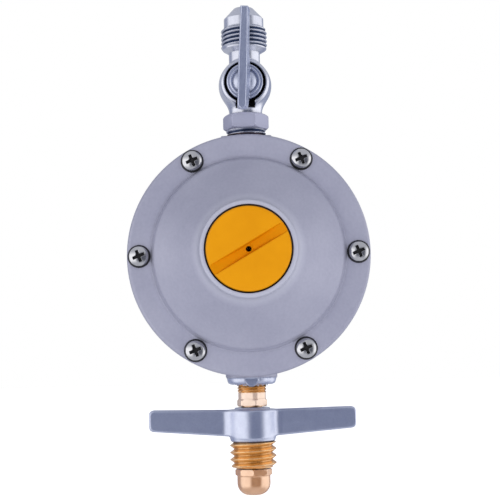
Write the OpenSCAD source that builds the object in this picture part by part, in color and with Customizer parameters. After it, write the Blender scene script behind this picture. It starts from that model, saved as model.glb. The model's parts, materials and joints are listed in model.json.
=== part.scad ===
// Low-pressure gas regulator with a wing-nut cylinder connector below
// and a quick-closing plug valve with a flare thread above.
// Z runs up the flow axis, X to the right and -Y out of the front.
// The origin is on the flow axis, half way up the round wall of the nose.

/* [Housing] */
// Radius of the clamped flanges
flange_r = 40; // [36:0.5:46]
// Thickness of each flange
flange_t = 4; // [3:0.5:5]
// Distance of the joint plane in front of the flow axis
joint_h = 12; // [11.5:0.5:14]
// Wall of both castings
wall = 2.6; // [2:0.1:3]
// Radius of the gas chamber
chamber_r = 30.4; // [29:0.1:30.8]
// Distance of the rear face behind the flow axis
rear_depth = 14; // [12.5:0.5:18]
// Rounding of the bowl's rear edge
bowl_round = 6; // [3:0.5:8]
// Radius of the inlet and outlet bosses
boss_r = 8.7; // [8:0.1:9.5]
// Reach of the outlet boss above the body axis
boss_up = 42.5; // [42:0.25:48]
// Reach of the inlet boss below the body axis
boss_down = 42.6; // [41.5:0.1:47]

/* [Cover] */
// Radius of the step round the dome
step_r = 31.8; // [31.2:0.1:32]
// Height of the step
step_rise = 1.8; // [1:0.2:3]
// Rounding between step and dome
shoulder_r = 3; // [1.5:0.5:4]
// Slope of the dome in degrees
dome_slope = 39; // [32:1:42]
// Wall of the collar round the cap
collar_wall = 1.4; // [1.1:0.1:2.9]
// Concave rounding at the foot of the collar
collar_fillet = 4; // [2:0.5:5]
// Straight height of the collar's lip
collar_lip = 1.2; // [0.6:0.2:3]
// Rounding of the flange's front edge
rim_round = 1.3; // [0.6:0.1:1.8]

/* [Cover screws] */
// Number of screws
screw_n = 6; // [5:1:6]
// Radius of the circle the screws stand on
screw_pcr = 35.9; // [35.7:0.1:36]
// Radius of the screw's thread
screw_r = 2; // [1.5:0.1:2.1]
// Radius of the pan head
screw_head_r = 3.65; // [3.2:0.05:3.8]
// Height of the pan head
screw_head_t = 2.4; // [1.6:0.1:3]
// Length of the screw under its head
screw_l = 12; // [10:0.5:14]
// Wall of the ear round each screw
screw_ear = 1.8; // [1.4:0.1:2]
// Width of the cross recess
recess_w = 0.9; // [0.6:0.1:1.2]
// Length of the cross recess
recess_l = 4.2; // [3:0.1:5]
// Depth of the cross recess
recess_t = 1.45; // [0.8:0.05:1.6]
// Turn of the cross recess in degrees
recess_turn = 22; // [0:1:89]

/* [Cap and adjuster] */
// Radius of the cap's head
cap_r = 13.5; // [13.2:0.05:13.7]
// How far the cap's head stands out past its thread
head_ledge = 0.8; // [0.7:0.05:1.5]
// Depth of the counterbore that the head sits in
counterbore_l = 4; // [3.2:0.1:5]
// How far the cap stands proud of the collar
cap_proud = 0.4; // [0:0.1:1]
// Thickness of the ring under the cap
seal_t = 0.8; // [0.5:0.1:1.2]
// Length of the cap's threaded skirt
skirt_l = 4.6; // [4:0.1:5]
// Width of the coin slot
coin_slot_w = 3; // [2:0.1:4]
// Depth of the coin slot at its middle
coin_slot_t = 2; // [1:0.1:2.2]
// Half length of the coin slot
coin_slot_l = 12; // [9:0.5:13]
// Angle of the coin slot in degrees
coin_slot_turn = 30; // [0:1:90]
// Radius of the breather hole
vent_r = 0.9; // [0.6:0.1:1.2]
// Thickness of the adjusting screw
adjuster_t = 2.6; // [2.2:0.1:3]
// Width across flats of the adjusting screw's socket
adjuster_socket = 10; // [8:0.5:12]
// Thickness of the spring seat
spring_seat_t = 1.1; // [0.8:0.1:1.4]
// Gap between the skirt and the adjusting screw
adjuster_gap = 1.4; // [1.3:0.1:2]

/* [Diaphragm and spring] */
// Thickness of the diaphragm
diaphragm_t = 1; // [0.6:0.1:1.4]
// How far the centre sits behind the clamped edge at rest
diaphragm_drop = 4; // [3:0.25:4.25]
// Radius of the plate in front of the diaphragm
plate_r = 22; // [18:0.5:23]
// Thickness of the plate
plate_t = 1.2; // [0.8:0.1:1.6]
// Radius of the washer behind the diaphragm
washer_r = 16; // [12:0.5:18]
// Thickness of the washer
washer_t = 1; // [0.6:0.1:1.4]
// Mean radius of the spring
spring_r = 9.8; // [8.5:0.1:10.5]
// Diameter of the spring wire
spring_wire = 1.4; // [1:0.1:1.6]
// Turns of the spring
spring_turns = 4; // [3:1:4]
// Forward travel of the diaphragm
diaphragm_travel = 3; // [2:0.25:3]

/* [Relay] */
// Distance of the lever's pivot below the body axis
pivot_drop = 18; // [17:0.25:18.5]
// Distance of the pivot behind the flow axis
pivot_back = 5; // [4.9:0.1:5.5]
// Radius of the pivot pin
pivot_r = 1; // [0.8:0.05:1.2]
// Thickness of the lever's arms
lever_t = 1.2; // [0.8:0.1:1.4]
// Width of the lever's long arm
lever_w = 4; // [3:0.2:5]
// Radius of the poppet
poppet_r = 3; // [2.8:0.05:3.2]
// Radius of the gas orifice
orifice_r = 1.2; // [0.6:0.1:1.4]

/* [Inlet] */
// Radius of the nose
nose_r = 5.55; // [5.3:0.05:5.7]
// Length of the nose's round wall
nose_l = 3.3; // [2.5:0.1:5]
// Length of the rounded tip
nose_tip_l = 2.85; // [2:0.05:3.2]
// Width across flats of the octagon collar
octagon_w = 11.4; // [11.2:0.1:12.4]
// Thickness of the octagon collar
octagon_t = 2.3; // [1.5:0.1:4]
// Gap between the octagon collar and the inlet screw
nose_gap = 0.5; // [0.4:0.1:1]
// Crest radius of the inlet screw's thread
inlet_crest_r = 7.76; // [7.4:0.02:8.2]
// Root radius of the inlet screw's thread
inlet_root_r = 6.45; // [6.4:0.05:6.7]
// Pitch of the inlet screw's thread
inlet_pitch = 2.35; // [1.8:0.05:2.8]
// Length of the inlet screw's thread
inlet_thread_l = 8.65; // [7:0.05:12]
// Outer radius of the nipple's tube
tube_r = 3.4; // [3:0.05:3.7]
// Radius of the gas passage
passage_r = 1.8; // [1.2:0.1:2.2]
// Width across flats of the nipple's hexagon
nipple_hex_w = 9.2; // [9:0.1:9.8]
// Length of the hexagon
nipple_hex_l = 2.5; // [2:0.1:5]
// Length of the turned shank above the hexagon
nipple_shank_l = 2.3; // [1:0.1:4]
// Crest radius of the nipple's pipe thread
nipple_thread_r = 5; // [4.9:0.05:5.1]
// Pitch of the nipple's pipe thread
nipple_pitch = 0.94; // [0.8:0.02:1.2]
// Depth of the nipple's pipe thread
nipple_thread_t = 0.5; // [0.4:0.05:0.6]
// Turn of the nipple's hexagon in degrees
nipple_hex_turn = 45; // [0:1:59]
// Visible length of the nipple's thread
nipple_thread_gap = 1.8; // [1:0.1:3]
// Height of the thin ring at the end of the inlet boss
boss_ring_t = 0.75; // [0.4:0.05:1.5]

/* [Wing handle] */
// Radius of the hub
hub_r = 7.75; // [7.6:0.05:8.6]
// Height of the hub
hub_l = 10.65; // [9.5:0.05:14]
// Radius of the hub's top ring
hub_ring_r = 5.95; // [5.2:0.05:6.5]
// Height of the hub's top ring
hub_ring_t = 0.8; // [0.4:0.1:1.2]
// Half span over both arms
wing_span = 34.75; // [28:0.25:40]
// Height of an arm at its tip
wing_tip_l = 7.2; // [6:0.1:8]
// Height of an arm at the hub
wing_root_l = 9.4; // [8.5:0.1:9.5]
// Thickness of an arm
wing_t = 5.6; // [4:0.1:7]
// Corner rounding of an arm's tip
wing_round = 1.2; // [0.8:0.1:2.8]
// Concave rounding between hub and arms
wing_fillet = 3; // [1.5:0.1:4]
// Draft of the hub's wall from its middle to each end
hub_draft = 0.12; // [0.05:0.01:0.2]
// Thickness of the hub's roof over the inlet screw
hub_roof = 2.2; // [1.6:0.1:3]

/* [Outlet valve] */
// Radius of the ball-shaped body
ball_r = 8.8; // [8.6:0.1:9.6]
// Height of the ball's centre above the hexagon
ball_rise = 10.35; // [8:0.05:12]
// Width across flats of the valve's hexagon
valve_hex_w = 13.7; // [13.7:0.1:15]
// Length of the valve's hexagon
valve_hex_l = 5.2; // [5:0.1:9]
// Turn of the valve's hexagon in degrees
valve_hex_turn = 54; // [0:1:59]
// Crest radius of the valve's pipe thread
outlet_thread_r = 6.83; // [6.6:0.01:6.9]
// Pitch of the valve's pipe thread
outlet_pitch = 1.41; // [1.2:0.01:1.6]
// Depth of the valve's pipe thread
outlet_thread_t = 0.7; // [0.5:0.05:0.8]
// Length of the valve's pipe thread inside the housing
outlet_thread_l = 8.6; // [7:0.1:8.8]
// Radius of the waist between hexagon and ball
waist_r = 5.65; // [5.4:0.05:6]
// Visible length of that thread
outlet_thread_gap = 1.75; // [1:0.05:3]
// Radius of the valve's gas passage
outlet_passage_r = 2.8; // [2:0.1:3]
// Radius of the neck under the flare
neck_r = 5.35; // [5:0.05:6]
// Height of the neck's top above the ball's centre
neck_rise = 11.35; // [10.5:0.05:13]
// Crest radius of the flare thread
flare_r = 7.94; // [7.6:0.01:8.2]
// Pitch of the flare thread
flare_pitch = 1.41; // [1:0.01:1.8]
// Depth of the flare thread
flare_thread_t = 0.8; // [0.6:0.05:0.9]
// Length of the flare thread
flare_thread_l = 7.45; // [6:0.05:10]
// Radius of the plain end above the thread
flare_nose_r = 6.85; // [6.4:0.05:7]
// Length of the plain end
flare_nose_l = 3.55; // [2:0.05:5]
// Radius of the valve plug
plug_r = 5; // [4.8:0.05:5.1]
// Half length of the plug
plug_l = 4.55; // [4.5:0.05:4.8]
// Distance of the valve's front rim from the flow axis
rim_front = 7; // [6.8:0.1:8]
// Radius of the lever's round base
base_r = 6.35; // [6.2:0.05:6.45]
// Reach of the lever above its axis
lever_up = 22.4; // [18:0.2:26]
// Reach of the lever below its axis
lever_down = 12.7; // [10:0.1:13.5]
// Distance of the lever's front edge from the flow axis
lever_front = 21; // [19:0.25:24]
// Distance of the lever's rear edge from the flow axis beside the flare
lever_back = 13.5; // [12.5:0.25:15]
// Thickness of the lever at its front edge
lever_edge_t = 2.7; // [2:0.1:3.4]
// Thickness of the lever at its base
lever_root_t = 3.9; // [3.4:0.1:4.6]

/* [Fits] */
// Radial gap of parts that turn or slide on each other
run_gap = 0.07; // [0.03:0.01:0.1]
// Gap of parts that are screwed or pushed together
fit_gap = 0.04; // [0.02:0.01:0.08]
// Gap between faces that pass each other
pass_gap = 0.3; // [0.25:0.05:0.5]

/* [Hidden] */
$fn = 96;
eps = 0.5;

// Colours
zinc = [0.63, 0.63, 0.72];
zinc_dark = [0.48, 0.52, 0.65];
brass = [0.86, 0.66, 0.36];
pale_brass = [0.88, 0.78, 0.66];
steel = [0.8, 0.8, 0.82];
rubber = [0.12, 0.12, 0.13];
orange = [0.93, 0.62, 0.05];

// Levels up the inlet
octagon_z = nose_l / 2;
screw_z = octagon_z + octagon_t + nose_gap;
hub_z = screw_z + inlet_thread_l;
hub_top = hub_z + hub_l;
hex_z = hub_top + hub_ring_t + pass_gap;
shank_z = hex_z + nipple_hex_l;
nipple_thread_z = shank_z + nipple_shank_l;
boss_ring_z = nipple_thread_z + nipple_thread_gap;
boss_end_z = boss_ring_z + boss_ring_t;
body_z = boss_end_z + boss_down;

// Levels up the outlet
boss_top_z = body_z + boss_up;
valve_hex_z = boss_top_z + outlet_thread_gap;
valve_hex_top = valve_hex_z + valve_hex_l;
ball_z = valve_hex_top + ball_rise;
neck_top = ball_z + neck_rise;
flare_taper_l = 1.25;
flare_z = neck_top + flare_taper_l;
flare_nose_z = flare_z + flare_thread_l;
cone_z = flare_nose_z + flare_nose_l;
flare_mouth_edge = 0.4;
flare_mouth_r = outlet_passage_r + flare_mouth_edge;
flare_tip_z = cone_z + flare_nose_r - flare_mouth_r;

// Depths forward of the flow axis in the housing
rear_flange_h = joint_h - flange_t;
cover_h = joint_h + diaphragm_t;
cover_face_h = cover_h + flange_t;
floor_h = wall - rear_depth;
bowl_r = chamber_r + wall;
shoulder_h = cover_face_h + step_rise;
head_clear = 0.2;
spot_r = screw_head_r + head_clear;
step_draft = 0.4;
shoulder_x = step_r - step_draft - shoulder_r;
dome_x = shoulder_x + shoulder_r * sin(dome_slope);
dome_h = shoulder_h + shoulder_r * cos(dome_slope);
collar_bore_r = cap_r - head_ledge;
counterbore_r = cap_r + 2 * pass_gap;
collar_r = counterbore_r + collar_wall;
collar_foot_x = collar_r + collar_fillet;
collar_tangent_x = collar_foot_x - collar_fillet * sin(dome_slope);
collar_tangent_h = dome_h + (dome_x - collar_tangent_x) * tan(dome_slope);
collar_h = collar_tangent_h + collar_fillet * cos(dome_slope);
rim_h = collar_h + collar_lip;
ledge_h = rim_h - counterbore_l;
seal_h = ledge_h + fit_gap;
head_h = seal_h + seal_t + fit_gap;
cap_front_h = rim_h + cap_proud;
skirt_h = head_h - skirt_l;
thread_r = collar_bore_r - run_gap;
skirt_wall = 1.8;
adjuster_h = skirt_h - adjuster_gap - adjuster_t;
seat_h = adjuster_h - fit_gap - spring_seat_t;
tower_wall = 2.4;
tower_below = 1;
tower_r = collar_bore_r + tower_wall;
tower_h = adjuster_h - tower_below;
collar_edge = 0.5;

// Depths of the diaphragm's centre at rest
centre_h = joint_h - diaphragm_drop;
plate_h = centre_h + diaphragm_t;
spring_h0 = plate_h + plate_t + fit_gap + spring_wire / 2;
spring_h1 = seat_h - fit_gap - spring_wire / 2;
washer_h = centre_h - washer_t;
post_r = 2;
post_hole_r = post_r + fit_gap;
post_body_r = 2.6;
post_neck_r = 1.4;
post_foot_t = 1.2;
post_head_t = 1.6;
post_head_rim = 1.6;
post_head_taper = 0.4;

// Relay: the short arm moves the poppet by this share of the diaphragm's travel
relay_ratio = pivot_back / pivot_drop;
poppet_travel = diaphragm_travel * relay_ratio;
fork_play = 1.4;
groove_w = lever_t + fork_play;
pivot_hub_wall = 0.6;
pivot_hub_r = pivot_r + pivot_hub_wall;
arm_slot_up = 1.3;
arm_slot_down = 0.95;
guide_clear = 0.5;
guide_top = pivot_drop + pivot_hub_r + guide_clear;
poppet_head = 3;
poppet_top = pivot_drop - poppet_head;
pad_rim = 0.5;
pad_r = poppet_r - pad_rim;
pad_t = 1.2;
pad_proud = 0.2;
poppet_base = 24.4;
pad_base = poppet_base + pad_proud;
closed_gap = 0.05;
nozzle_tip = pad_base + poppet_travel + closed_gap;
nozzle_lip_l = 1.3;
nozzle_lip_wall = 0.6;
nozzle_step = nozzle_tip + nozzle_lip_l;
nozzle_wall = 1;
nozzle_r = poppet_r + nozzle_wall;
nozzle_l = 6.9;
nozzle_base = nozzle_step + nozzle_l;
nozzle_clear = 0.6;
nipple_top = nozzle_base + nozzle_clear;
guide_wall = 1.3;
guide_r = nozzle_r + guide_wall;
roll_most = 2.2;
roll_r = min(roll_most, centre_h - guide_r - pass_gap);
roll_x = plate_r + roll_r;
lug_x = 4;
lug_w = 2.5;
lug_l = 2 * (pivot_hub_r + guide_clear - pass_gap);
lug_over = 2;

// Joint of the nipple and the nose
spigot_wall = 0.6;
spigot_r = tube_r - spigot_wall;
spigot_l = 0.9;
spigot_z = octagon_z - spigot_l;

// Joint of the wing handle and the inlet screw
socket_step = 0.15;
screw_socket_r = inlet_root_r - socket_step;

// Valve plug and lever
plug_bore_r = plug_r + run_gap;
plug_wall = 1.2;
plug_back = sqrt(ball_r * ball_r - pow(plug_bore_r + plug_wall, 2));
base_gap = 0.5;
counter_r = base_r + base_gap;
rim_wall = 1.4;
rim_r = counter_r + rim_wall;
clip_y = plug_l + fit_gap;
clip_t = 0.8;
clip_web = 0.3;
clip_bite = 0.65;
clip_r = plug_r + clip_bite;
clip_bore_r = 3.6;
clip_split = 3.2;
counter_t = 1;
counter_y = max(rim_front - counter_t, clip_y + clip_t + fit_gap + clip_web);
stem_w = 4.4;
stem_proud = 1.4;
stem_front = rim_front + stem_proud;
oring_r = 0.5;
oring_y = 3.45;
stop_r = 0.55;
stop_web = 0.3;
stop_ring = plug_bore_r + stop_r + stop_web;
base_y = counter_y + pass_gap;
base_proud = 1;
base_step_t = 0.8;
base_mid_r = 5.4;
base_top_r = 4.25;
base_steps = [[base_r, rim_front + base_proud], [base_mid_r, rim_front + base_proud + base_step_t],
    [base_top_r, rim_front + base_proud + 2 * base_step_t]];
blade_y = base_steps[2][1];
stop_reach = 0.9;
stop_groove_t = 1.2;

// Points of an arc about c, from angle a0 to a1
function arc(c, r, a0, a1, n = 8) =
    [for (i = [0 : n]) c + r * [cos(a0 + (a1 - a0) * i / n), sin(a0 + (a1 - a0) * i / n)]];

// Points of a row of thread ridges along a wall, from z0 up over length l.
// Flank and land are shares of the pitch.
flank = 0.36;
land = 0.2;
function ridges(z0, l, pitch, crest, root) =
    let (n = floor(l / pitch), z = z0 + (l - n * pitch) / 2)
    [for (i = [0 : n - 1], p = [[root, 0], [crest, flank], [crest, flank + land], [root, 2 * flank + land]])
        [p[0], z + (i + p[1]) * pitch]];

// Local frame of the housing: y is up and z comes out of the front
module body_frame() {
    translate([0, 0, body_z])
        rotate([90, 0, 0])
            children();
}

// Local frame of the valve: z comes out of the front at the ball's centre
module valve_frame() {
    translate([0, 0, ball_z])
        rotate([90, 0, 0])
            children();
}

// Solid of revolution about the flow axis from an outline of [radius, height]
module turned(points) {
    rotate_extrude()
        polygon(points);
}

// Solid rod along the body's local y, from y0 up to y1
module rod_y(r, y0, y1) {
    translate([0, y0, 0])
        rotate([-90, 0, 0])
            cylinder(r = r, h = y1 - y0);
}

module at_screws() {
    for (i = [0 : screw_n - 1])
        rotate([0, 0, i * 360 / screw_n])
            translate([screw_pcr, 0, 0])
                children();
}

// Regular prism with its width across flats
module prism(sides, width, h) {
    cylinder(r = width / 2 / cos(180 / sides), h = h, $fn = sides);
}

// Ears that keep a wall round each screw
module screw_ears(h) {
    at_screws()
        cylinder(r = screw_r + screw_ear, h = h);
}

module bowl_outline() {
    polygon(concat(
        [[0, -rear_depth]],
        arc([bowl_r - bowl_round, bowl_round - rear_depth], bowl_round, -90, 0),
        [[bowl_r, joint_h], [0, joint_h]]));
}

module rear_body() {
    boss_round = 2.8;
    boss_taper = 1.8;
    boss_end_r = boss_r - boss_taper;
    ring_wall = 0.35;
    thread_clear = 0.4;
    outlet_step = boss_up - outlet_thread_l - thread_clear;
    port_wide = 1.6;
    port_start = 2;
    window_low = 0.6;
    color(zinc)
    body_frame()
    difference() {
        union() {
            difference() {
                union() {
                    rotate_extrude()
                        bowl_outline();
                    translate([0, 0, rear_flange_h])
                        cylinder(r = flange_r, h = flange_t);
                    translate([0, 0, rear_flange_h - flange_t])
                        screw_ears(2 * flange_t);
                    rod_y(boss_r, 0, boss_up);
                    rod_y(boss_r, -boss_down + boss_round, 0);
                    rotate([90, 0, 0])
                        turned([[0, 0], [boss_r, 0], [boss_r, boss_down - boss_round],
                            [boss_r - boss_taper / 2, boss_down - boss_round / 2],
                            [boss_end_r, boss_down], [0, boss_down]]);
                    rod_y(nipple_thread_r + ring_wall, -boss_down - boss_ring_t, 0);
                }
                translate([0, 0, floor_h])
                    cylinder(r = chamber_r, h = joint_h - floor_h + eps);
            }
            rod_y(guide_r, -chamber_r - eps, -guide_top);
            for (side = [-1, 1])
                translate([side * (lug_x + lug_w / 2), -pivot_drop, floor_h - eps])
                    translate([-lug_w / 2, -lug_l / 2, 0])
                        cube([lug_w, lug_l, -pivot_back - floor_h + eps + lug_over]);
        }
        at_screws()
            translate([0, 0, rear_flange_h - flange_t - eps])
                cylinder(r = screw_r + fit_gap, h = 2 * flange_t + 2 * eps);
        rod_y(nipple_thread_r + fit_gap, -boss_down - boss_ring_t - eps, -nipple_top);
        rod_y(nozzle_r + fit_gap, -nipple_top - eps, -nozzle_step);
        rod_y(poppet_r + run_gap, -nozzle_step - eps, -guide_top + eps);
        translate([-guide_r - eps, -nozzle_step, -poppet_r / 2])
            cube([2 * guide_r + 2 * eps, nozzle_step - poppet_base + window_low, poppet_r]);
        rod_y(outlet_thread_r + fit_gap, outlet_step, boss_up + eps);
        rod_y(outlet_passage_r + port_wide, chamber_r - port_start, outlet_step + eps);
        translate([-lug_x - lug_w - eps, -pivot_drop, -pivot_back])
            rotate([0, 90, 0])
                cylinder(r = pivot_r + fit_gap, h = 2 * (lug_x + lug_w + eps));
    }
}

module cover_outline() {
    skirt_in = 1;
    spot_wall = 1.2;
    inner_x = dome_x - wall * sin(dome_slope);
    inner_h = dome_h - wall * cos(dome_slope);
    inner_top = inner_h + (inner_x - tower_r) * tan(dome_slope);
    edge_x = min(inner_x, chamber_r - skirt_in, screw_pcr - spot_r - spot_wall);
    edge_h = inner_h + (inner_x - edge_x) * tan(dome_slope);
    polygon(concat(
        [[chamber_r, cover_h], [flange_r, cover_h]],
        arc([flange_r - rim_round, cover_face_h - rim_round], rim_round, 0, 90, 6),
        [[step_r, cover_face_h]],
        arc([shoulder_x, shoulder_h], shoulder_r, 0, 90 - dome_slope, 6),
        arc([collar_foot_x, collar_h], collar_fillet, 270 - dome_slope, 180, 6),
        arc([collar_r - collar_edge, rim_h - collar_edge], collar_edge, 0, 90, 4),
        [[counterbore_r, rim_h], [counterbore_r, ledge_h], [collar_bore_r, ledge_h],
            [collar_bore_r, tower_h], [tower_r, tower_h], [tower_r, inner_top],
            [edge_x, edge_h], [edge_x, cover_face_h]]));
}

module front_cover() {
    color(zinc)
    body_frame()
    difference() {
        union() {
            rotate_extrude()
                cover_outline();
            translate([0, 0, cover_h])
                screw_ears(flange_t - rim_round);
        }
        at_screws() {
            translate([0, 0, cover_h - eps])
                cylinder(r = screw_r + pass_gap, h = flange_t + 2 * eps);
            translate([0, 0, cover_face_h])
                cylinder(r = spot_r, h = rim_h - cover_face_h);
        }
    }
}

module cover_screws() {
    head_round = 1;
    color(steel)
    body_frame()
    at_screws()
    translate([0, 0, cover_face_h])
    difference() {
        union() {
            rotate_extrude()
                polygon(concat(
                    [[0, 0], [screw_head_r, 0]],
                    arc([screw_head_r - head_round, screw_head_t - head_round], head_round, 0, 90, 5),
                    [[0, screw_head_t]]));
            translate([0, 0, -screw_l])
                cylinder(r = screw_r, h = screw_l + eps);
        }
        for (a = [0, 90])
            rotate([0, 0, recess_turn + a])
                translate([-recess_l / 2, -recess_w / 2, screw_head_t - recess_t])
                    cube([recess_l, recess_w, recess_t + eps]);
    }
}

module diaphragm_outline() {
    rise = 30;
    edge = chamber_r - fit_gap;
    polygon(concat(
        [[post_hole_r, centre_h]],
        arc([roll_x, centre_h], roll_r, 180, 270 + rise, 6),
        [[edge, joint_h], [flange_r, joint_h], [flange_r, cover_h], [edge - diaphragm_t, cover_h]],
        arc([roll_x, centre_h], roll_r - diaphragm_t, 270 + rise, 180, 6),
        [[plate_r + diaphragm_t, plate_h], [post_hole_r, plate_h]]));
}

module diaphragm() {
    color(rubber)
    body_frame()
    difference() {
        union() {
            rotate_extrude()
                diaphragm_outline();
            translate([0, 0, joint_h])
                screw_ears(diaphragm_t);
        }
        at_screws()
            translate([0, 0, joint_h - eps])
                cylinder(r = screw_r + pass_gap, h = diaphragm_t + 2 * eps);
    }
}

// Flat disc with a hole for the post, and a ring that centres the spring
module diaphragm_plate() {
    ring_r = spring_r * cos(180 / spring_steps) - spring_wire / 2 - pass_gap;
    color(steel)
    body_frame()
    translate([0, 0, plate_h])
    difference() {
        union() {
            cylinder(r = plate_r - diaphragm_t, h = plate_t);
            cylinder(r = ring_r, h = plate_t + spring_wire);
        }
        translate([0, 0, plate_t])
            cylinder(r = ring_r - plate_t, h = spring_wire + eps);
        translate([0, 0, -eps])
            cylinder(r = post_hole_r, h = plate_t + 2 * eps);
    }
}

module diaphragm_washer() {
    color(steel)
    body_frame()
    translate([0, 0, washer_h])
    difference() {
        cylinder(r = washer_r, h = washer_t);
        translate([0, 0, -eps])
            cylinder(r = post_hole_r, h = washer_t + 2 * eps);
    }
}

module diaphragm_post() {
    neck_h = -pivot_back - groove_w / 2;
    head_h = plate_h + plate_t;
    color(pale_brass)
    body_frame()
    rotate_extrude()
        polygon([[0, neck_h - post_foot_t], [post_body_r, neck_h - post_foot_t], [post_body_r, neck_h],
            [post_neck_r, neck_h], [post_neck_r, neck_h + groove_w], [post_body_r, neck_h + groove_w],
            [post_body_r, washer_h], [post_r, washer_h], [post_r, head_h],
            [post_r + post_head_rim, head_h],
            [post_r + post_head_rim - post_head_taper, head_h + post_head_t],
            [0, head_h + post_head_t]]);
}

// Coil spring: one tube swept along a helix
spring_steps = 8;
spring_rings = spring_steps * spring_turns;
spring_sides = 6;
spring_path = [for (i = [0 : spring_rings])
    [spring_r * cos(360 * spring_turns * i / spring_rings),
        spring_r * sin(360 * spring_turns * i / spring_rings),
        spring_h0 + (spring_h1 - spring_h0) * i / spring_rings]];
spring_gap = min([for (i = [0 : spring_rings], j = [i + spring_steps - 3 : 1 : spring_rings])
    norm(spring_path[i] - spring_path[j])]) - spring_wire;
echo(spring_least_gap = spring_gap);

module main_spring() {
    points = [for (p = spring_path, k = [0 : spring_sides - 1])
        let (b = 360 * k / spring_sides, w = spring_wire / 2, out = [p[0], p[1], 0] / spring_r)
            p + w * cos(b) * out + [0, 0, w * sin(b)]];
    sides = [for (i = [0 : spring_rings - 1], k = [0 : spring_sides - 1])
        let (a = i * spring_sides, c = a + spring_sides, m = (k + 1) % spring_sides)
            each [[a + k, a + m, c + m], [a + k, c + m, c + k]]];
    start = [for (k = [1 : spring_sides - 2]) [0, k + 1, k]];
    last = spring_rings * spring_sides;
    end = [for (k = [1 : spring_sides - 2]) [last, last + k, last + k + 1]];
    color(steel)
    body_frame()
        polyhedron(points, concat(sides, start, end));
}

module spring_seat() {
    color(steel)
    body_frame()
    translate([0, 0, seat_h])
    difference() {
        cylinder(r = thread_r - pass_gap, h = spring_seat_t);
        translate([0, 0, -eps])
            cylinder(r = adjuster_socket / 2, h = spring_seat_t + 2 * eps);
    }
}

module adjusting_screw() {
    color(zinc)
    body_frame()
    translate([0, 0, adjuster_h])
    difference() {
        cylinder(r = thread_r, h = adjuster_t);
        translate([0, 0, -eps])
            prism(6, adjuster_socket, adjuster_t + 2 * eps);
    }
}

module vent_cap() {
    coin_r = (coin_slot_l * coin_slot_l + coin_slot_t * coin_slot_t) / (2 * coin_slot_t);
    edge = 0.7;
    color(orange)
    body_frame()
    difference() {
        union() {
            rotate_extrude()
                polygon(concat(
                    [[0, head_h], [cap_r, head_h]],
                    arc([cap_r - edge, cap_front_h - edge], edge, 0, 90, 5),
                    [[0, cap_front_h]]));
            translate([0, 0, skirt_h])
                cylinder(r = thread_r, h = skirt_l + eps);
        }
        translate([0, 0, skirt_h - eps])
            cylinder(r = thread_r - skirt_wall, h = skirt_l + eps);
        rotate([0, 0, coin_slot_turn])
            translate([0, coin_slot_w / 2, cap_front_h - coin_slot_t + coin_r])
                rotate([90, 0, 0])
                    cylinder(r = coin_r, h = coin_slot_w);
        translate([0, 0, skirt_h])
            cylinder(r = vent_r, h = cap_front_h - skirt_h + eps);
    }
}

module cap_seal() {
    color(rubber)
    body_frame()
    translate([0, 0, seal_h])
    difference() {
        cylinder(r = counterbore_r - pass_gap, h = seal_t);
        translate([0, 0, -eps])
            cylinder(r = collar_bore_r + run_gap, h = seal_t + 2 * eps);
    }
}

// Bell-crank: the fork holds the post and the short arm holds the poppet
module relay_lever() {
    fork_side = 1.4;
    fork_w = post_body_r + fork_side;
    fork_gap = post_neck_r + pass_gap;
    short_l = 1.2;
    hub_w = lug_x - pass_gap;
    color(steel)
    body_frame()
    translate([0, -pivot_drop, -pivot_back])
    difference() {
        union() {
            translate([-hub_w, 0, 0])
                rotate([0, 90, 0])
                    cylinder(r = pivot_hub_r, h = 2 * hub_w);
            translate([-lever_w / 2, 0, -lever_t / 2])
                cube([lever_w, pivot_drop - fork_w + eps, lever_t]);
            translate([-fork_w, pivot_drop - fork_w, -lever_t / 2])
                cube([2 * fork_w, 2 * fork_w, lever_t]);
            translate([-lever_w / 4, -lever_t / 2, 0])
                cube([lever_w / 2, lever_t, pivot_back + short_l]);
        }
        translate([-hub_w - eps, 0, 0])
            rotate([0, 90, 0])
                cylinder(r = pivot_r + run_gap, h = 2 * hub_w + 2 * eps);
        translate([-fork_gap, pivot_drop - fork_gap, -lever_t])
            cube([2 * fork_gap, fork_w + fork_gap + eps, 2 * lever_t]);
    }
}

module lever_pin() {
    color(steel)
    body_frame()
    translate([-lug_x - lug_w, -pivot_drop, -pivot_back])
        rotate([0, 90, 0])
            cylinder(r = pivot_r, h = 2 * (lug_x + lug_w));
}

module poppet() {
    slot_over = 1.6;
    color(brass)
    body_frame()
    difference() {
        rod_y(poppet_r, -poppet_base, -poppet_top);
        translate([-poppet_r - eps, -pivot_drop - arm_slot_down, -poppet_r - eps])
            cube([2 * poppet_r + 2 * eps, arm_slot_up + arm_slot_down, poppet_r + eps + slot_over]);
        rod_y(pad_r + fit_gap, -poppet_base - eps, -pad_base + pad_t + fit_gap);
    }
}

module seat_pad() {
    color(rubber)
    body_frame()
        rod_y(pad_r, -pad_base, -pad_base + pad_t);
}

module inlet_nozzle() {
    lip_taper = 0.6;
    throat_l = 0.4;
    throat_taper = 0.6;
    color(brass)
    body_frame()
    rotate([90, 0, 0])
        turned([[orifice_r, nozzle_tip], [orifice_r + nozzle_lip_wall, nozzle_tip],
            [orifice_r + nozzle_lip_wall + lip_taper, nozzle_step],
            [nozzle_r, nozzle_step + fit_gap], [nozzle_r, nozzle_base], [passage_r, nozzle_base],
            [passage_r, nozzle_step + throat_l + throat_taper], [orifice_r, nozzle_step + throat_l]]);
}

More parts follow.
